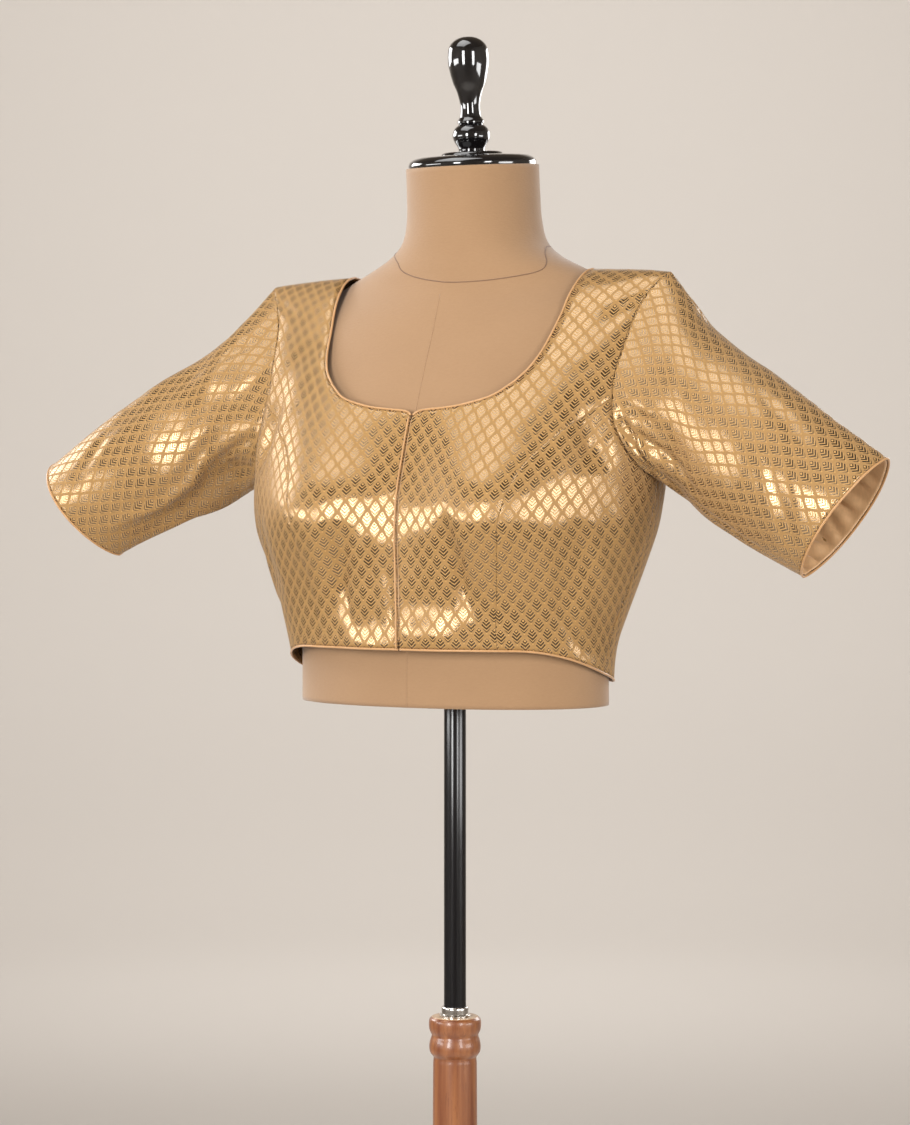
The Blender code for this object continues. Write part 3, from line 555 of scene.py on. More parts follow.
def addGrid(mesh, columns, rows, place):
    # place gives the point and the cloth's own coordinates for shares across and up
    uvLayer = mesh.loops.layers.uv.verify()
    made = bmesh.ops.create_grid(mesh, x_segments=columns, y_segments=rows, size=0.5)
    weave = {}
    for vertex in made["verts"]:
        vertex.co, weave[vertex] = place(vertex.co.x + 0.5, vertex.co.y + 0.5)
    for face in {f for vertex in made["verts"] for f in vertex.link_faces}:
        for loop in face.loops:
            loop[uvLayer].uv = weave[loop.vert]


def weld(mesh, distance=0.00004):
    bmesh.ops.remove_doubles(mesh, verts=mesh.verts, dist=distance)
    bmesh.ops.recalc_face_normals(mesh, faces=mesh.faces)


def closeUp(mesh, middle):
    # joins the blocks and turns every face away from middle(point)
    weld(mesh)
    out = 0.0
    for face in mesh.faces:
        centre = face.calc_center_median()
        out += face.normal.dot(centre - middle(centre)) * face.calc_area()
    if out < 0:
        bmesh.ops.reverse_faces(mesh, faces=mesh.faces)
    mesh.normal_update()


def drawIn(mesh, distance):
    # draws the edges back by distance(point), towards the faces beside them
    moves = {}
    for vertex in mesh.verts:
        if vertex.is_boundary:
            centre = sum((f.calc_center_median() for f in vertex.link_faces), Vector())
            towards = centre / len(vertex.link_faces) - vertex.co
            moves[vertex] = towards.normalized() * min(distance(vertex.co), 0.6 * towards.length)
    for vertex, move in moves.items():
        vertex.co += move


def bodyMiddle(point):
    return Vector((0.0, 0.02, point.z))


# Materials

def linear(hexColour):
    values = []
    for k in (0, 2, 4):
        c = int(hexColour[k:k + 2], 16) / 255
        values.append(c / 12.92 if c <= 0.04045 else ((c + 0.055) / 1.055) ** 2.4)
    return (*values, 1.0)


def feed(tree, node, inputs):
    # links a socket to an input, or sets its value
    for name, value in inputs.items():
        if isinstance(value, bpy.types.NodeSocket):
            tree.links.new(value, node.inputs[name])
        else:
            node.inputs[name].default_value = value


def addNode(tree, kind, inputs, **settings):
    node = tree.nodes.new("ShaderNode" + kind)
    for name, value in settings.items():
        setattr(node, name, value)
    feed(tree, node, inputs)
    return node.outputs


def newMaterial(name, values):
    made = bpy.data.materials.new(name)
    made.use_nodes = True
    tree = made.node_tree
    shader = tree.nodes["Principled BSDF"]
    feed(tree, shader, values)
    return made, partial(addNode, tree), partial(feed, tree, shader)


# Inputs and outputs of the nodes that have several of one name: 0 is the share, 6 and 7 the two colours that
# it mixes into output 2; a map range goes from 0..1 to inputs 3 and 4
leafBrocade = {
    "repeatWide": 0.0133,
    "repeatTall": 0.0178,
    "leafWide": 0.345,  # half of the leaf, as a share of the repeat
    "leafTall": 0.392,
    "leafLow": -0.035,  # height of its widest place
    "leafTaper": 1.7,  # 1 is a lozenge, 2 has round sides
    "sharp": 26.0,  # how quickly an edge of the pattern sets in
    "rim": 0.010,
    "stalk": (-0.47, -0.30, 0.045),  # from, to, half width
    "veinPitch": 0.0031,
    "veinLean": 0.95,
    "veinCut": (2.4, -0.7),  # how sharp, and how much narrower than the metal between
    "veinTop": 0.62,
    "eye": (0.225, 0.85),  # height, radius squared in mm
    "ground": "9A794D",
    "groundShade": "8D6B40",
    "vein": "AF8853",
    "zari": "8A745A",
    "zariMetal": 0.92,
    "zariRoughness": 0.20,
    "groundRoughness": 0.58,
    "clouds": 0.09,  # how much rougher in places
    "slubs": 0.35,  # how far they stand up, beside the leaf's 1
    "gleam": 0.18,  # how much the silk mirrors; the zari mirrors as a metal does
    "relief": 0.00012,
}


def brocadeMaterial():
    # jacquard: a satin ground of tan silk with leaves of flat metal thread, their veins left in silk
    b = leafBrocade
    made, add, finish = newMaterial("leaf brocade", {
        "Specular IOR Level": b["gleam"], "Sheen Weight": 0.08, "Sheen Roughness": 0.4, "Anisotropic": 0.9,
    })
    uv = add("UVMap", {}, uv_map="cloth")[0]
    parts = add("SeparateXYZ", {0: uv})
    tall, wide, pitch = b["repeatTall"], b["repeatWide"], b["veinPitch"]
    stalkLow, stalkHigh, stalkHalf = b["stalk"]
    eyeHeight, eyeSize = b["eye"]
    ground = b["groundRoughness"]
    # weft slubs run across the cloth; real threads are finer than a pixel, so these are drawn 1.2 mm apart
    across = add("Mapping", {"Vector": uv, "Scale": (70.0, 830.0, 1.0)})[0]
    slub = add("TexNoise", {"Vector": across, "Scale": 1.0, "Detail": 2.0})[0]
    cloudy = add("TexNoise", {"Vector": uv, "Scale": 55.0, "Detail": 3.0})[0]
    known = {"u": parts[0], "v": parts[1], "cloudy": cloudy, "slub": slub}
    # a table of sums: name, operation, then what it takes; CLAMPED keeps a sum within 0..1
    steps = [
        ("a", "DIVIDE", "u", wide), ("b", "DIVIDE", "v", tall),
        ("aCell", "FRACT", "a"), ("bCell", "FRACT", "b"),
        ("a1", "SUBTRACT", "aCell", 0.5), ("b1", "SUBTRACT", "bCell", 0.5),
        ("aNext", "ADD", "a", 0.5), ("bNext", "ADD", "b", 0.5),
        ("aNextCell", "FRACT", "aNext"), ("bNextCell", "FRACT", "bNext"),
        ("a2", "SUBTRACT", "aNextCell", 0.5), ("b2", "SUBTRACT", "bNextCell", 0.5),
        ("aFar", "ABSOLUTE", "a1"), ("bFar", "ABSOLUTE", "b1"),
        ("far", "ADD", "aFar", "bFar"), ("first", "LESS_THAN", "far", 0.5),
        ("aStep", "SUBTRACT", "a1", "a2"), ("bStep", "SUBTRACT", "b1", "b2"),
        ("x", "MULTIPLY_ADD", "aStep", "first", "a2"), ("y", "MULTIPLY_ADD", "bStep", "first", "b2"),
        ("xFar", "ABSOLUTE", "x"),
        # the leaf: pointed at both ends, with slightly rounded sides
        ("yUp", "SUBTRACT", "y", b["leafLow"]), ("yFar", "ABSOLUTE", "yUp"),
        ("yShare", "MULTIPLY", "yFar", 1 / b["leafTall"]), ("taper", "POWER", "yShare", b["leafTaper"]),
        ("leafHalf", "MULTIPLY_ADD", "taper", -b["leafWide"], b["leafWide"]),
        ("depth", "SUBTRACT", "leafHalf", "xFar"), ("leaf", "MULTIPLY CLAMPED", "depth", b["sharp"]),
        # a rim of silk binds the metal thread down
        ("rimDepth", "SUBTRACT", "depth", b["rim"]), ("inside", "MULTIPLY CLAMPED", "rimDepth", b["sharp"]),
        # its stalk
        ("stalkLow", "GREATER_THAN", "y", stalkLow), ("stalkHigh", "LESS_THAN", "y", stalkHigh),
        ("stalkThin", "LESS_THAN", "xFar", stalkHalf), ("stalkSpan", "MULTIPLY", "stalkLow", "stalkHigh"),
        ("stalk", "MULTIPLY", "stalkSpan", "stalkThin"),
        # veins like a stack of V shapes, and a round eye over them
        ("veinX", "MULTIPLY", "xFar", -b["veinLean"] * wide / pitch),
        ("veinY", "MULTIPLY_ADD", "y", tall / pitch, "veinX"),
        ("veinTurn", "MULTIPLY", "veinY", math.tau), ("veinWave", "SINE", "veinTurn"),
        ("veinCut", "MULTIPLY_ADD CLAMPED", "veinWave", *b["veinCut"]),
        ("veinBelow", "LESS_THAN", "veinY", b["veinTop"]), ("veins", "MULTIPLY", "veinCut", "veinBelow"),
        ("eyeY", "SUBTRACT", "y", eyeHeight), ("eyeYmm", "MULTIPLY", "eyeY", tall * 1000),
        ("eyeXmm", "MULTIPLY", "x", wide * 1000), ("eyeYY", "MULTIPLY", "eyeYmm", "eyeYmm"),
        ("eyeAll", "MULTIPLY_ADD", "eyeXmm", "eyeXmm", "eyeYY"), ("eye", "LESS_THAN", "eyeAll", eyeSize),
        ("dark", "MAXIMUM", "veins", "eye"), ("light", "SUBTRACT", 1.0, "dark"),
        ("zariLeaf", "MULTIPLY", "inside", "light"), ("silk", "SUBTRACT", "leaf", "zariLeaf"),
        ("veinSilk", "MAXIMUM", "silk", "stalk"),
        # the shine of metal thread against that of silk
        ("metal", "MULTIPLY", "zariLeaf", b["zariMetal"]),
        ("rough", "MULTIPLY_ADD", "zariLeaf", b["zariRoughness"] - ground, ground),
        ("roughAll", "MULTIPLY_ADD", "cloudy", b["clouds"], "rough"),
        ("lift", "MULTIPLY_ADD", "slub", b["slubs"], "leaf"),
    ]
    for name, operation, *takes in steps:
        inputs = {k: known[value] if isinstance(value, str) else value for k, value in enumerate(takes)}
        operation, *clamped = operation.split()
        sums = add("Math", inputs, operation=operation, use_clamp=bool(clamped))
        known[name] = sums[0]
    # each colour is laid over the last where its share says
    colour = linear(b["groundShade"])
    for share, over in ((slub, "ground"), (known["veinSilk"], "vein"), (known["zariLeaf"], "zari")):
        colour = add("Mix", {0: share, 6: colour, 7: linear(b[over])}, data_type="RGBA")[2]
    bump = add("Bump", {"Height": known["lift"], "Distance": b["relief"], "Strength": 0.7})[0]
    # the flat threads spread their gleam across the cloth
    spread = add("Tangent", {}, direction_type="UV_MAP", uv_map="cloth")[0]
    finish({
        "Base Color": colour, "Metallic": known["metal"], "Roughness": known["roughAll"], "Normal": bump,
        "Tangent": spread,
    })
    return made


# shade is how dark the painted shade between the satin's sheen streaks is, against its colour
satin = {"piping": "B98C5B", "lining": "D6AC7E", "roughness": 0.36, "shade": 0.72}


def satinMaterial(name, colour):
    # silk-finish satin: smooth floats along one way, so the light lies on it in soft streaks, which its
    # rougher grain draws; the colour is also painted darker in the grain's low places, as painted shade
    # between those streaks
    made, add, finish = newMaterial(name, {"Sheen Weight": 0.25, "Sheen Roughness": 0.35})
    place = add("TexCoord", {})["Object"]
    threads = add("Mapping", {"Vector": place, "Scale": (500, 500, 90)})[0]
    grain = add("TexNoise", {"Vector": threads, "Scale": 1.0, "Detail": 2.0})[0]
    # a darker copy of the colour, mixed in along the grain: painted shade between the sheen streaks
    shade = tuple(satin["shade"] * c for c in linear(colour)[:3]) + (1.0,)
    tint = add("Mix", {0: grain, 6: shade, 7: linear(colour)}, data_type="RGBA")[2]
    rough = add("MapRange", {0: grain, 3: satin["roughness"], 4: 0.5})[0]
    bump = add("Bump", {"Height": grain, "Distance": 0.0001, "Strength": 0.4})[0]
    finish({"Base Color": tint, "Roughness": rough, "Normal": bump})
    return made


jersey = {"colour": "91714F", "shade": "866646", "seam": "6A4B32", "pitch": 0.0012}


def jerseyMaterial(name, light, dark):
    # knitted polyester stretched over padding: dull, with a fine crosswise rib and a few slack wrinkles
    made, add, finish = newMaterial(name, {"Roughness": 0.82, "Sheen Weight": 0.3, "Sheen Roughness": 0.5})
    place = add("TexCoord", {})["Object"]
    turns = 1 / jersey["pitch"]
    ribs = add("Mapping", {"Vector": place, "Scale": (turns / 3, turns / 3, turns)})[0]
    stitch = add("TexNoise", {"Vector": ribs, "Scale": 1.0, "Detail": 1.0})[0]
    cloud = add("TexNoise", {"Vector": place, "Scale": 22.0, "Detail": 4.0})[0]
    both = add("Math", {0: stitch, 1: cloud}, operation="ADD")[0]
    half = add("Math", {0: both, 1: 0.5}, operation="MULTIPLY")[0]
    tint = add("Mix", {0: half, 6: linear(dark), 7: linear(light)}, data_type="RGBA")[2]
    bump = add("Bump", {"Height": both, "Distance": 0.0003, "Strength": 0.5})[0]
    finish({"Base Color": tint, "Normal": bump})
    return made


def lacquerMaterial():
    # black polyester lacquer on turned wood: deep and mirror bright, with a faint orange peel
    made, add, finish = newMaterial("black lacquer", {
        "Base Color": linear("0B0A0B"), "Roughness": 0.10, "Coat Weight": 1.0, "Coat Roughness": 0.05,
    })
    place = add("TexCoord", {})["Object"]
    peel = add("TexNoise", {"Vector": place, "Scale": 160.0, "Detail": 1.0})[0]
    bump = add("Bump", {"Height": peel, "Distance": 0.0002, "Strength": 0.15})[0]
    finish({"Normal": bump})
    return made


beech = {
    "light": "8E5A34",
    "dark": "6A381E",
    "fleck": "5A2F1A",
    "fleckDepth": 0.35,
    "endGrain": "B89877",
    "top": 0.6186,  # height above which the top face is given a paler colour
}


def woodMaterial():
    # stained beech under satin varnish: long grain up the turning, short dark flecks, and a paler colour on
    # the flat top face
    made, add, finish = newMaterial("stained beech", {"Coat Weight": 0.3, "Coat Roughness": 0.12})
    place = add("TexCoord", {})["Object"]
    along = add("Mapping", {"Vector": place, "Scale": (120, 120, 5)})[0]
    grain = add("TexNoise", {"Vector": along, "Scale": 1.0, "Detail": 5.0, "Distortion": 0.6})[0]
    short = add("Mapping", {"Vector": place, "Scale": (900, 900, 70)})[0]
    fleck = add("TexNoise", {"Vector": short, "Scale": 1.0, "Detail": 1.0})[0]
    ramp = add("ValToRGB", {0: grain})[0]
    for stop, position, tone in zip(ramp.node.color_ramp.elements, (0.34, 0.66), ("dark", "light")):
        stop.position = position
        stop.color = linear(beech[tone])
    speck = add("Math", {0: fleck, 1: 0.66}, operation="GREATER_THAN")[0]
    speckle = add("Math", {0: speck, 1: beech["fleckDepth"]}, operation="MULTIPLY")[0]
    height = add("SeparateXYZ", {0: place})[2]
    # above this height the flat top face gets a paler colour
    atTop = add("Math", {0: height, 1: beech["top"]}, operation="GREATER_THAN")[0]
    tint = ramp
    for share, over in ((speckle, "fleck"), (atTop, "endGrain")):
        tint = add("Mix", {0: share, 6: tint, 7: linear(beech[over])}, data_type="RGBA")[2]
    rough = add("MapRange", {0: grain, 3: 0.30, 4: 0.42})[0]
    bump = add("Bump", {"Height": grain, "Distance": 0.0002, "Strength": 0.3})[0]
    finish({"Base Color": tint, "Roughness": rough, "Normal": bump})
    return made


def metalMaterial(name, colour, metallic, roughness, scale):
    # the finish is drawn along the tube, so its roughness varies in long streaks
    made, add, finish = newMaterial(name, {"Base Color": linear(colour), "Metallic": metallic})
    place = add("TexCoord", {})["Object"]
    streaks = add("Mapping", {"Vector": place, "Scale": scale})[0]
    grain = add("TexNoise", {"Vector": streaks, "Scale": 1.0, "Detail": 2.0})[0]
    rough = add("MapRange", {0: grain, 3: roughness, 4: roughness + 0.12})[0]
    finish({"Roughness": rough})
    return made


brocade = brocadeMaterial()
pipingSatin = satinMaterial("piping satin", satin["piping"])
liningSatin = satinMaterial("lining satin", satin["lining"])
formJersey = jerseyMaterial("form jersey", jersey["colour"], jersey["shade"])
seamThread = jerseyMaterial("form seam", jersey["seam"], jersey["seam"])
blackLacquer = lacquerMaterial()
stainedBeech = woodMaterial()
blackEnamel = metalMaterial("black enamel", "0B0A0C", 0.0, 0.14, (900, 900, 20))
nickel = metalMaterial("polished nickel", "C9C5BF", 1.0, 0.14, (300, 300, 900))
print("materials ready")


# Dress form

form = {
    "columns": 96,
    "rows": 120,
    "cup": (0.088, 1.066, 0.017, 0.040, 0.045, 0.036),
    "tilt": 5.0,
    "tiltFrom": 1.300,
    "neckSeamRadius": 0.0005,
    "frontSeamRadius": 0.0003,
    "frontSeam": (0.8985, 1.256),
    "capInset": 0.003,
    "neckSeam": [  # degrees round from the front, height
        (-180, 1.3060), (-90, 1.3020), (-60, 1.2960), (-38, 1.2870), (-28, 1.2780), (-18, 1.2720),
        (-6, 1.2680), (10, 1.2664), (24, 1.2676), (39, 1.2718), (50, 1.2764), (61, 1.2846),
        (75, 1.2943), (92, 1.3004), (180, 1.3060),
    ],
    # the same columns as the blouse's
    "rings": [
        (0.8975, 0.1440, 0.0880, 0.0900, -0.0030, 2.10, 0.000),
        (0.9300, 0.1440, 0.0880, 0.0900, -0.0030, 2.10, 0.000),
        (0.9600, 0.1450, 0.0880, 0.0900, -0.0020, 2.10, 0.000),
        (1.0000, 0.1500, 0.0890, 0.0910, 0.0000, 2.15, 0.000),
        (1.0400, 0.1580, 0.0920, 0.0940, 0.0020, 2.20, 0.000),
        (1.0800, 0.1650, 0.0930, 0.0970, 0.0050, 2.25, 0.000),
        (1.1200, 0.1690, 0.0885, 0.0970, 0.0080, 2.20, 0.000),
        (1.1520, 0.1700, 0.0835, 0.0945, 0.0095, 2.10, 0.000),
        (1.1890, 0.1690, 0.0730, 0.0885, 0.0145, 2.00, 0.000),
        (1.2200, 0.1660, 0.0665, 0.0770, 0.0225, 1.85, 0.000),
        (1.2400, 0.1610, 0.0645, 0.0700, 0.0290, 1.65, 0.000),
        (1.2560, 0.1490, 0.0635, 0.0660, 0.0345, 1.50, 0.000),
        (1.2680, 0.1323, 0.0640, 0.0650, 0.0385, 1.50, 0.000),
        (1.2800, 0.1077, 0.0640, 0.0650, 0.0400, 1.65, 0.000),
        (1.2920, 0.0825, 0.0630, 0.0650, 0.0405, 1.85, 0.000),
        (1.3050, 0.0665, 0.0622, 0.0635, 0.0400, 2.00, 0.000),
        (1.3250, 0.0608, 0.0608, 0.0610, 0.0385, 2.00, 0.000),
        (1.3500, 0.0598, 0.0598, 0.0598, 0.0365, 2.00, 0.000),
        (1.3737, 0.0596, 0.0596, 0.0596, 0.0345, 2.00, 0.000),
    ],
}


def formPoint(turn, height):
    # turn goes all round from the centre front
    turn %= 360
    angle = turn % 180 if turn % 180 <= 90 else 180 - turn % 180
    half = backHalf if 90 < turn < 270 else frontHalf
    point = ringPoint(form, angle, height, half, 1 if turn <= 180 else -1)
    top = form["rings"][-1][0]
    lean = math.tan(math.radians(form["tilt"])) * softStep(height, form["tiltFrom"], top)
    point.z += lean * (point.y - onCurve(form["rings"], height)[3])
    return point


def makeForm():
    low, high = form["rings"][0][0], form["rings"][-1][0]
    mesh = bmesh.new()
    columns, rows = form["columns"], form["rows"]
    addGrid(mesh, columns, rows, lambda u, v: (formPoint(360 * u, mix(low, high, v)), (u, v)))
    weld(mesh)
    rims = [edge for edge in mesh.edges if edge.is_boundary]
    caps = bmesh.ops.holes_fill(mesh, edges=rims, sides=0)["faces"]
    bmesh.ops.recalc_face_normals(mesh, faces=mesh.faces)
    bmesh.ops.inset_individual(mesh, faces=caps, thickness=form["capInset"])
    newPiece("dressForm", asMesh("dressForm", mesh), formJersey, "dress_form")


def pipe(name, points, radius, closed, material, node=None):
    curve = bpy.data.curves.new(name, "CURVE")
    curve.dimensions = "3D"
    curve.bevel_depth = radius
    curve.bevel_resolution = 4
    curve.use_fill_caps = not closed
    spline = curve.splines.new("POLY")
    spline.points.add(len(points) - 1)
    for slot, point in zip(spline.points, points):
        slot.co = (*point, 1.0)
    spline.use_cyclic_u = closed
    holder = addObject(name, curve)
    data = bpy.data.meshes.new_from_object(holder.evaluated_get(bpy.context.evaluated_depsgraph_get()))
    bpy.data.objects.remove(holder)
    mesh = bmesh.new()
    mesh.from_mesh(data)
    weld(mesh, 0.00001)
    bpy.data.meshes.remove(data)
    return newPiece(name, asMesh(name, mesh), material, node)


makeForm()
neckSeam = [formPoint(3 * k - 180, *onCurve(form["neckSeam"], 3 * k - 180)) for k in range(120)]
pipe("neckSeam", neckSeam, form["neckSeamRadius"], True, seamThread)
frontSeam = [formPoint(0, mix(*form["frontSeam"], k / 70)) for k in range(71)]
pipe("frontSeam", frontSeam, form["frontSeamRadius"], False, formJersey)
print("dress form ready")


# Stand

sharpTurn = 0.9  # radians


def smoothOutline(outline, finer):
    # more points on the curves of an outline, read by the length along it; sharp corners stay sharp
    rows, corners = [(0.0, *outline[0])], [0]
    for index, (before, point) in enumerate(zip(outline, outline[1:]), 1):
        rows.append((rows[-1][0] + math.dist(before, point), *point))
        if index < len(outline) - 1:
            after = outline[index + 1]
            turn = math.atan2(after[1] - point[1], after[0] - point[0])
            turn -= math.atan2(point[1] - before[1], point[0] - before[0])
            if abs((turn + math.pi) % math.tau - math.pi) > sharpTurn:
                corners.append(index)
    corners.append(len(outline) - 1)
    points = []
    for first, last in zip(corners, corners[1:]):
        run = rows[first:last + 1]
        for start, end in zip(run, run[1:]):
            count = finer if last - first > 1 else 1
            points += [onCurve(run, mix(start[0], end[0], k / count)) for k in range(count)]
    return points + [list(outline[-1])]


def spun(outline, finer, steps, join):
    # spins an outline of radius and height about Z
    mesh = bmesh.new()
    verts = [mesh.verts.new((r, 0.0, z)) for r, z in smoothOutline(outline, finer)]
    edges = [mesh.edges.new(pair) for pair in zip(verts, verts[1:])]
    bmesh.ops.spin(
        mesh, geom=verts + edges, cent=(0, 0, 0), axis=(0, 0, 1), angle=math.tau, steps=steps, use_merge=True
    )
    weld(mesh, join)
    return mesh


def turned(name, node, outline, finer, steps, material, body, place=None):
    mesh = spun(outline, finer, steps, 0.00002)
    if place:
        bmesh.ops.transform(mesh, matrix=place, verts=mesh.verts)
    data = asMesh(name, mesh)
    data.set_sharp_from_angle(angle=math.radians(35))
    newPiece(name, data, material, node, body)


neckTop, *_, neckMiddle, _, _ = form["rings"][-1]
neckTilt = Matrix.Translation((0.0, neckMiddle, neckTop))
neckTilt @= Matrix.Rotation(math.radians(form["tilt"]), 4, "X")
# Radius and height along each outline; the cap and the finial are measured from where they stand
stand = {
    "capTop": 0.0134,
    "finial": [
        (0.0000, 0.1022), (0.0064, 0.1018), (0.0132, 0.0983), (0.0172, 0.0926), (0.0184, 0.0830),
        (0.0178, 0.0752), (0.0148, 0.0622), (0.0112, 0.0528), (0.0088, 0.0415), (0.0096, 0.0313),
        (0.0118, 0.0276), (0.0120, 0.0258), (0.0106, 0.0246), (0.0148, 0.0208), (0.0168, 0.0150),
        (0.0156, 0.0098), (0.0122, 0.0038), (0.0116, 0.0003), (0.0000, 0.0003),
    ],
    "cap": [
        (0.0000, 0.0134), (0.0240, 0.0134), (0.0268, 0.0124), (0.0280, 0.0104), (0.0420, 0.0100),
        (0.0510, 0.0088), (0.0556, 0.0062), (0.0574, 0.0030), (0.0572, 0.0003), (0.0000, 0.0003),
    ],
    "column": [
        (0.0000, 0.0550), (0.0101, 0.0550), (0.0101, 0.6190), (0.0199, 0.6190), (0.0205, 0.6187),
        (0.0226, 0.6165), (0.0231, 0.6115), (0.0224, 0.6065), (0.0208, 0.6030), (0.0208, 0.6015),
        (0.0221, 0.5975), (0.0228, 0.5925), (0.0221, 0.5875), (0.0200, 0.5845), (0.0190, 0.5830),
        (0.0194, 0.5780), (0.0200, 0.4300), (0.0212, 0.2400), (0.0222, 0.1250), (0.0212, 0.1180),
        (0.0236, 0.1120), (0.0244, 0.1050), (0.0236, 0.0980), (0.0216, 0.0920), (0.0240, 0.0700),
        (0.0300, 0.0540), (0.0320, 0.0453), (0.0000, 0.0453),
    ],
    "ferrule": [
        (0.0101, 0.6193), (0.0101, 0.6275), (0.0112, 0.6275), (0.0118, 0.6267), (0.0118, 0.6213),
        (0.0132, 0.6209), (0.0138, 0.6205), (0.0138, 0.6193), (0.0101, 0.6193),
    ],
    "pole": [
        (0.0000, 0.9757), (0.0092, 0.9757), (0.0097, 0.9752), (0.0097, 0.3305), (0.0092, 0.3300),
        (0.0000, 0.3300),
    ],
    "base": [
        (0.0000, 0.0450), (0.0350, 0.0450), (0.0440, 0.0430), (0.0520, 0.0375), (0.0900, 0.0330),
        (0.1450, 0.0300), (0.1560, 0.0290), (0.1600, 0.0250), (0.1720, 0.0240), (0.1785, 0.0200),
        (0.1800, 0.0130), (0.1785, 0.0050), (0.1750, 0.0000), (0.0000, 0.0000),
    ],
}


onCap = neckTilt @ Matrix.Translation((0, 0, stand["capTop"]))
turned("turnedFinial", "finial", stand["finial"], 5, 96, blackLacquer, "form", onCap)
turned("neckCap", "neck_cap", stand["cap"], 5, 128, blackLacquer, "form", neckTilt)
turned("standColumn", "stand_column", stand["column"], 4, 72, stainedBeech, "stand")
turned("standBase", "stand_base", stand["base"], 4, 128, stainedBeech, "stand")
turned("brightFerrule", "ferrule", stand["ferrule"], 3, 96, nickel, "stand")
turned("steelPole", "pole", stand["pole"], 3, 64, blackEnamel, "form")
print("stand ready")


# Blouse

def addBlock(mesh, half, side, place, columns, rows, shift=(0.0, 0.0), lean=0.0):
    spread = {innerPlace: innerShare, strapPlace: gather, outerPlace: sideShare}[place]
    depth, reach = blouse["seamRoll"]
    uneven, fineness = blouse["pucker"]

    def put(u, v):
        angle, height = place(half, spread(u), v)
        point = clothPoint(angle, height, half, side)
        if place is not strapPlace and height < blouse["notch"] and not half["isBack"]:
            # the cloth rolls into the shaped seam, and puckers along it
            run = abs(point.x - side * onCurve(half["line"], height)[0])
            pucker = 1 + uneven * noise.noise(Vector((side, 5.0, height * fineness)))
            roll = depth * pucker * math.exp(-((run / reach) ** 2))
            point -= outward(angle, height, half, side) * roll
        return point, clothUv(angle, height, half, side, shift, lean)

    addGrid(mesh, columns, rows, put)


def addInner(mesh, half, side):
    # from the centre line to the shaped seam, and on up to the shoulder
    strap = blouse["strapColumns"]
    addBlock(mesh, half, side, innerPlace, blouse["neckColumns"] + strap, blouse["rows"])
    addBlock(mesh, half, side, strapPlace, strap, blouse["strapRows"])


def addOuter(mesh, half, side, *weave):
    # from the shaped seam to the side seam
    addBlock(mesh, half, side, outerPlace, blouse["sideColumns"], blouse["rows"], *weave)


def panel(name, mesh, node):
    under, middle, reach = blouse["shoulderSeam"]

    def distance(spot):
        onRidge = spot.z > blouse["ridge"] - under and abs(spot.y - middle) < reach
        return blouse["shoulderHalfGap" if onRidge else "seamHalfGap"]

    closeUp(mesh, bodyMiddle)
    drawIn(mesh, distance)
    return clothPiece(name, mesh, brocade, node, blouse["wall"])


def armholePoint(side, angle):
    # counted in steps: down the front from the shoulder, under the arm, up the back
    strap, low = sleeve["strapSteps"], sleeve["lowSteps"]
    total = 2 * (strap + low)
    position = angle / 360 * total % total
    half = frontHalf if position <= strap + low else backHalf
    near = position if half is frontHalf else total - position
    if near <= strap:
        place = strapEdge(half, 1 - near / strap, False)
    else:
        place = armholeLow(half, (near - strap) / low)
    return clothPoint(*place, half, side)


def sleeveRing(ring, side, angle):
    _, topX, topZ, bottomX, bottomZ, halfDepth, middleY, pinch = ring
    lift = sleeve["rightLift"] * softStep(ring[0], 0.0, 0.3) if side < 0 else 0.0
    turn = math.radians(angle)
    upper = (1 + math.cos(turn)) / 2
    bulge = math.copysign(abs(math.sin(turn)) ** pinch, math.sin(turn))
    x, z = mix(bottomX, topX, upper), mix(bottomZ + lift, topZ, upper)
    return Vector((side * x, middleY - halfDepth * bulge, z))


def sleeveLine(side, angle):
    # the head runs straight on from its seam, and stands a little fuller at the back
    start = armholePoint(side, angle)
    rings = [(ring[0], sleeveRing(ring, side, angle)) for ring in sleeve["rings"]]
    headEnd, headPoint = rings[2]
    full = sleeve["backFullness"] * max(0.0, -math.sin(math.radians(angle)))
    rows = [(0.0, *start)]
    for along, point in rings:
        if along < headEnd:
            point = start.lerp(headPoint, along / headEnd).lerp(point, full)
        rows.append((along, *point))
    return rows


def signed(angle):
    return angle - 360 if angle > 180 else angle


def sleeveDepth(side, angle, along):
    total = 0.0
    for at, start, end, spread, depth in sleeve["troughs"][side]:
        share = max(0.0, 1 - ((along - (start + end) / 2) / ((end - start) / 2)) ** 2)
        total += depth * share * math.exp(-(((angle - at) / spread) ** 2))
    return total + foldDepth(sleeveCreases[side], signed(angle), along, sleeve["creaseScale"])


def sleeveMiddle(side, along):
    ends = [Vector(onCurve(sleeveLine(side, angle), along)) for angle in (0, 180)]
    return (ends[0] + ends[1]) / 2


def sleeveTable(side, columns, rows, start, extra=None):
    # points down each line of the sleeve, round from its underarm seam
    alongs = [mix(start, 1.0, row / rows) for row in range(rows + 1)]
    middles = [sleeveMiddle(side, along) for along in alongs]
    points, bare = [], []
    for column in range(columns + 1):
        angle = (180 + 360 * column / columns) % 360
        line = sleeveLine(side, angle)
        bare.append([Vector(onCurve(line, along)) for along in alongs])
        points.append([])
        for point, along, middle in zip(bare[-1], alongs, middles):
            sunk = sleeveDepth(side, angle, along) + (extra(side, angle, along) if extra else 0.0)
            sunk += ripple(point, sleeve["ripples"])
            sunk *= softStep(along, 0.0, 0.05)  # the seam itself lies on the body's edge
            points[-1].append(point + (middle - point).normalized() * sunk)
    # the cloth's own coordinates: round from the upper line, and up from the cuff
    up = [wayAlong(line[::-1])[::-1] for line in bare]
    across = []
    for line in zip(*bare):
        ways = wayAlong(line)
        across.append([way - ways[-1] / 2 for way in ways])
    return points, [list(zip(*pair)) for pair in zip(zip(*across), up)]


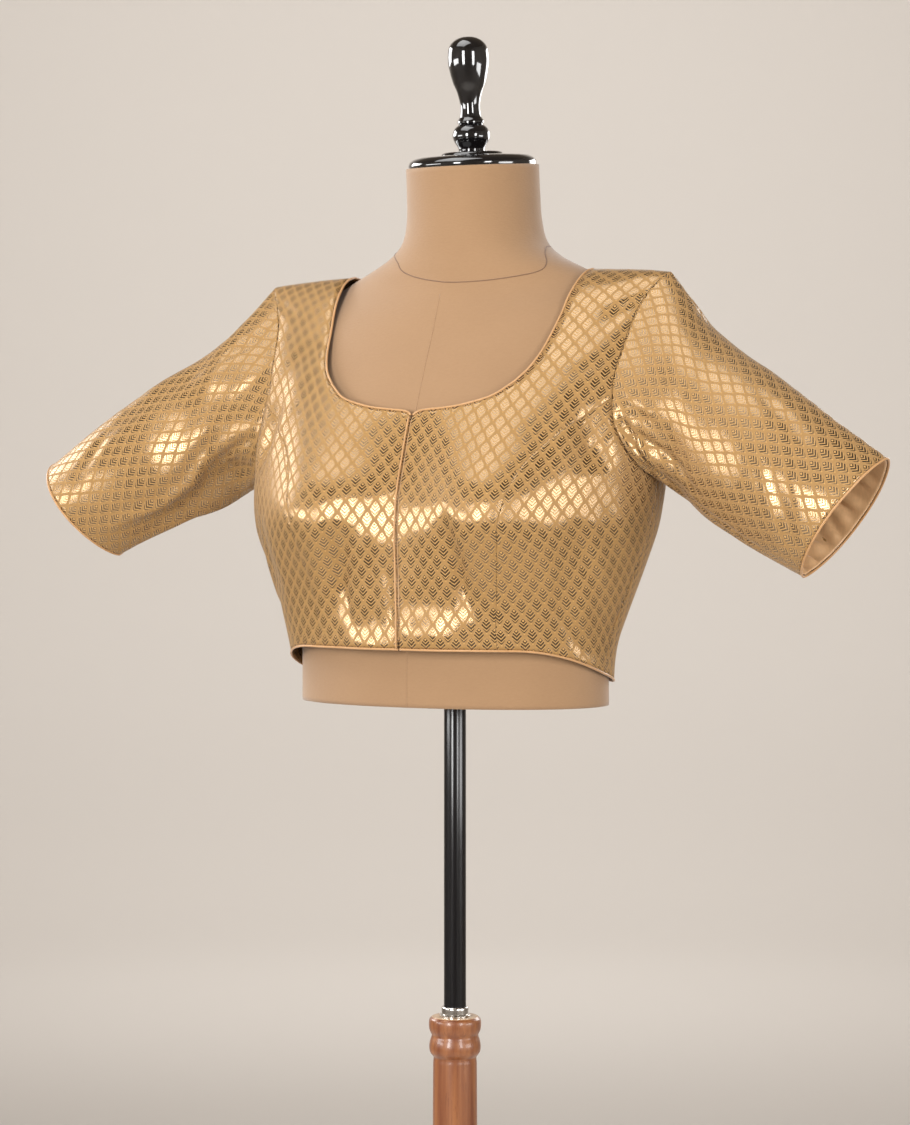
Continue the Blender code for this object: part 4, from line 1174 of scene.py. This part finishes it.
def sleeveMesh(side, rows, start, extra=None):
    columns = sleeve["columns"]
    points, weave = sleeveTable(side, columns, rows, start, extra)
    mesh = bmesh.new()

    def put(u, v):
        column, row = round(u * columns), round(v * rows)
        return points[column][row], weave[column][row]

    addGrid(mesh, columns, rows, put)
    shoulder, cuff = (Vector((side * x, y, z)) for x, y, z in sleeve["axis"])
    run = cuff - shoulder
    closeUp(mesh, lambda p: shoulder + run * ((p - shoulder).dot(run) / run.length_squared))
    return mesh


def makeSleeve(name, side, node):
    mesh = sleeveMesh(side, sleeve["rows"], 0.0)
    gaps = sleeve["underGap"], sleeve["topGap"]
    drawIn(mesh, lambda spot: mix(*gaps, softStep(spot.z, blouse["notch"], blouse["ridge"])))
    return clothPiece(name, mesh, brocade, node, blouse["wall"])


def liningCreases(side, angle, along):
    # the lining is a little too big for the sleeve, so it stands in waves and a few sharp creases at the cuff
    depth, count, uneven, loss = sleeve["liningWave"]
    wave = math.sin(math.radians(angle * count + uneven * math.sin(math.radians(angle * 2)))) * 0.5 + 0.5
    crease = foldDepth(liningFolds[side], signed(angle), along, sleeve["liningScale"])
    fade = softStep(along, sleeve["liningFrom"], 0.85) * (1 - loss * softStep(along, 0.93, 1.0))
    return crease + depth * wave * fade


def makeLining(name, side, node):
    mesh = sleeveMesh(side, sleeve["liningRows"], sleeve["liningFrom"], liningCreases)
    for vertex in mesh.verts:
        vertex.co -= vertex.normal * (blouse["wall"] + sleeve["fitGap"])
    drawIn(mesh, lambda spot: sleeve["liningGap"])
    return clothPiece(name, mesh, liningSatin, node, sleeve["liningWall"], even=False)


piping = {
    "radius": 0.0010,
    "frontRadius": 0.0008,
    "frontShift": (-0.0010, -0.0011, 0),
    "gap": -0.0002,
    "inside": 0.0002,
    "neckFrom": 0.018,  # share of the neckline that the front opening takes
}


def edgeRun(places, half, side, towards):
    # the line of a cord that lies against an edge of the cloth
    points = [clothPoint(*p, half, side, piping["inside"]) for p in places]
    run = []
    for index, place in enumerate(places):
        before, after = points[max(0, index - 1)], points[min(len(points) - 1, index + 1)]
        out = (after - before).cross(outward(*place, half, side)).normalized()
        out = out if out.dot(towards(points[index])) > 0 else -out
        run.append(points[index] + out * (piping["radius"] + piping["gap"]))
    return run


def aroundBody(halfRun):
    # left front, left back, right back, right front, each given from its centre outwards
    run = []
    turns = ((frontHalf, 1, False), (backHalf, 1, True), (backHalf, -1, False), (frontHalf, -1, True))
    for half, side, back in turns:
        found = halfRun(half, side)
        found = found[::-1] if back else found
        run += found if not run else found[1:]
    return run


def neckRun(half, side):
    start = 0.0 if half["isBack"] else piping["neckFrom"]
    low = [neckEdge(half, mix(start, 1, (k / 40) ** 1.5)) for k in range(40)]
    rise = [strapEdge(half, k / 44, True) for k in range(45)]
    return edgeRun(low + rise, half, side, lambda p: Vector((-p.x, 0.0, 1.25 * blouse["ridge"] - p.z)))


def hemRun(half, side):
    places = [innerPlace(half, k / 40, 0.0) for k in range(40)]
    places += [outerPlace(half, k / 40, 0.0) for k in range(41)]
    drop = Vector((0, 0, -piping["radius"] - piping["gap"]))
    return [clothPoint(*p, half, side, piping["inside"]) + drop for p in places]


def frontEdgeRun():
    run = []
    for k in range(101):
        height = mix(blouse["hemFront"], neckEdge(frontHalf, 0)[1], k / 100)
        angle = angleAt(blouse["frontGap"] / 2, height)
        point = clothPoint(angle, height, frontHalf, -1, -piping["radius"] / 2)
        run.append(point + Vector(piping["frontShift"]))
    return run


def cuffRun(side):
    points = sleeveTable(side, 120, 24, sleeve["liningFrom"])[0][:-1]
    middle = sum((column[-1] for column in points), Vector()) / len(points)
    run = []
    for column in points:
        end, before = column[-1], column[-3]
        inside = (middle - end).normalized() * piping["inside"]
        run.append(end + inside + (end - before).normalized() * (piping["radius"] + piping["gap"]))
    return run


lap = {"halfWidth": 0.013, "aboveHem": 0.006, "underNeck": 0.001, "columns": 12, "rows": 66}


def makeLap():
    low, high = blouse["hemFront"] + lap["aboveHem"], neckEdge(frontHalf, 0)[1] - lap["underNeck"]

    def put(u, v):
        height = mix(low, high, v)
        x = mix(-lap["halfWidth"], lap["halfWidth"], u)
        inside = blouse["wall"] + sleeve["fitGap"]
        point = clothPoint(angleAt(abs(x), height), height, frontHalf, 1 if x > 0 else -1, inside)
        return point, (x, height)

    mesh = bmesh.new()
    addGrid(mesh, lap["columns"], lap["rows"], put)
    closeUp(mesh, bodyMiddle)
    return clothPiece("frontLap", mesh, liningSatin, "front_lap", sleeve["liningWall"])


wide = piping["radius"]
trims = [
    pipe("neckPiping", aroundBody(neckRun), wide, False, pipingSatin, "neck_piping"),
    pipe("hemPiping", aroundBody(hemRun), wide, False, pipingSatin, "hem_piping"),
    pipe("frontEdgePiping", frontEdgeRun(), piping["frontRadius"], False, pipingSatin, "front_edge_piping"),
]
cuffs = {
    1: pipe("cuffPipingLeft", cuffRun(1), wide, True, pipingSatin, "cuff_piping_left"),
    -1: pipe("cuffPipingRight", cuffRun(-1), wide, True, pipingSatin, "cuff_piping_right"),
}
print("piping ready")

# The panels, sleeves and linings of each side, then the back and the front lap; each prints the area of its
# cloth
for side, word in ((1, "Left"), (-1, "Right")):
    lower = word.lower()
    mesh = bmesh.new()
    addInner(mesh, frontHalf, side)
    centre = panel(f"frontCentre{word}", mesh, f"front_centre_{lower}")
    mesh = bmesh.new()
    addOuter(mesh, frontHalf, side, blouse["sideShift"], blouse["sideLean"] * side)
    outer = panel(f"frontSide{word}", mesh, f"front_side_{lower}")
    upper = makeSleeve(f"sleeve{word}", side, f"sleeve_{lower}")
    lining = makeLining(f"sleeveLining{word}", side, f"sleeve_lining_{lower}")
mesh = bmesh.new()
for side in (1, -1):
    addInner(mesh, backHalf, side)
    addOuter(mesh, backHalf, side)
back = panel("backPanel", mesh, "back")
makeLap()
print("blouse ready")


# Studio

studio = {
    "azimuth": 27.0,
    "distance": 2.6,
    "height": 1.08,
    "lens": 94.0,
    "horizon": 495,  # of the photo's 1125 rows
    "floor": "D3CDC6",
    # radius and height of the paper sweep
    "sweep": [(0.0, -0.001), (4.0, -0.001), (5.2, 0.04), (6.2, 0.5), (6.8, 1.6), (7.0, 3.0), (7.0, 6.0)],
    # name, degrees right of the camera, distance, height, width, tall, watts, spread in degrees
    "lights": [
        ("left box", -28, 2.4, 1.40, 0.50, 1.3, 22, 120),
        ("right box", 28, 2.4, 1.40, 0.50, 1.3, 14, 120),
        ("left side box", -75, 2.4, 1.25, 1.4, 0.5, 11.5, 120),
        ("right side box", 64, 2.4, 0.90, 1.2, 0.5, 8, 120),
        ("left rim box", -125, 2.4, 1.9, 1.4, 1.0, 18, 120),
        ("right rim box", 140, 2.6, 1.7, 1.4, 1.0, 13, 120),
        ("top box", -55, 0.9, 3.2, 1.8, 1.8, 18, 120),
        ("wall light behind", 180, 3.2, 3.2, 2.4, 2.4, 122, 180),
        ("right wall light", 60, 3.2, 3.2, 2.4, 2.4, 55, 180),
        ("left wall light", -60, 3.2, 3.2, 2.4, 2.4, 55, 180),
    ],
    "aim": 1.1,  # height that the boxes face
    "wallAim": (7.0, 1.2),  # distance and height that the wall lights face
    "world": ("E6CDB4", 0.20),
}


def fromCamera(turn, distance, height):
    # a place, by its direction in degrees to the right of the camera
    angle = math.radians(studio["azimuth"] + turn)
    return Vector((distance * math.sin(angle), -distance * math.cos(angle), height))


def makeStudio():
    paper = newMaterial("studio paper", {"Base Color": linear(studio["floor"]), "Roughness": 0.9})[0]
    floor = addObject("studioFloor", asMesh("studioFloor", spun(studio["sweep"], 6, 96, 0.0005)))
    floor.data.materials.append(paper)
    for name, turn, distance, height, wide, tall, watts, spread in studio["lights"]:
        light = bpy.data.lights.new(name, "AREA")
        light.shape = "RECTANGLE"
        light.size, light.size_y = wide, tall
        light.energy = watts
        light.spread = math.radians(spread)
        holder = addObject(name, light)
        holder.location = fromCamera(turn, distance, height)
        target = fromCamera(turn, *studio["wallAim"]) if "wall" in name else Vector((0, 0, studio["aim"]))
        holder.rotation_euler = (target - holder.location).to_track_quat("-Z", "Y").to_euler()
    scene = bpy.context.scene
    scene.world = bpy.data.worlds.new("studio")
    scene.world.use_nodes = True
    colour, strength = studio["world"]
    sky = scene.world.node_tree
    feed(sky, sky.nodes["Background"], {"Color": linear(colour), "Strength": strength})
    scene.view_settings.view_transform = "Standard"
    camera = bpy.data.cameras.new("camera")
    camera.sensor_width = 36
    camera.lens = studio["lens"]
    camera.shift_y = (studio["horizon"] - 1125 / 2) / 1125
    holder = addObject("camera", camera)
    holder.location = fromCamera(0, studio["distance"], studio["height"])
    holder.rotation_euler = (math.radians(90), 0, math.radians(studio["azimuth"]))
    scene.camera = holder


makeStudio()
print("studio ready")
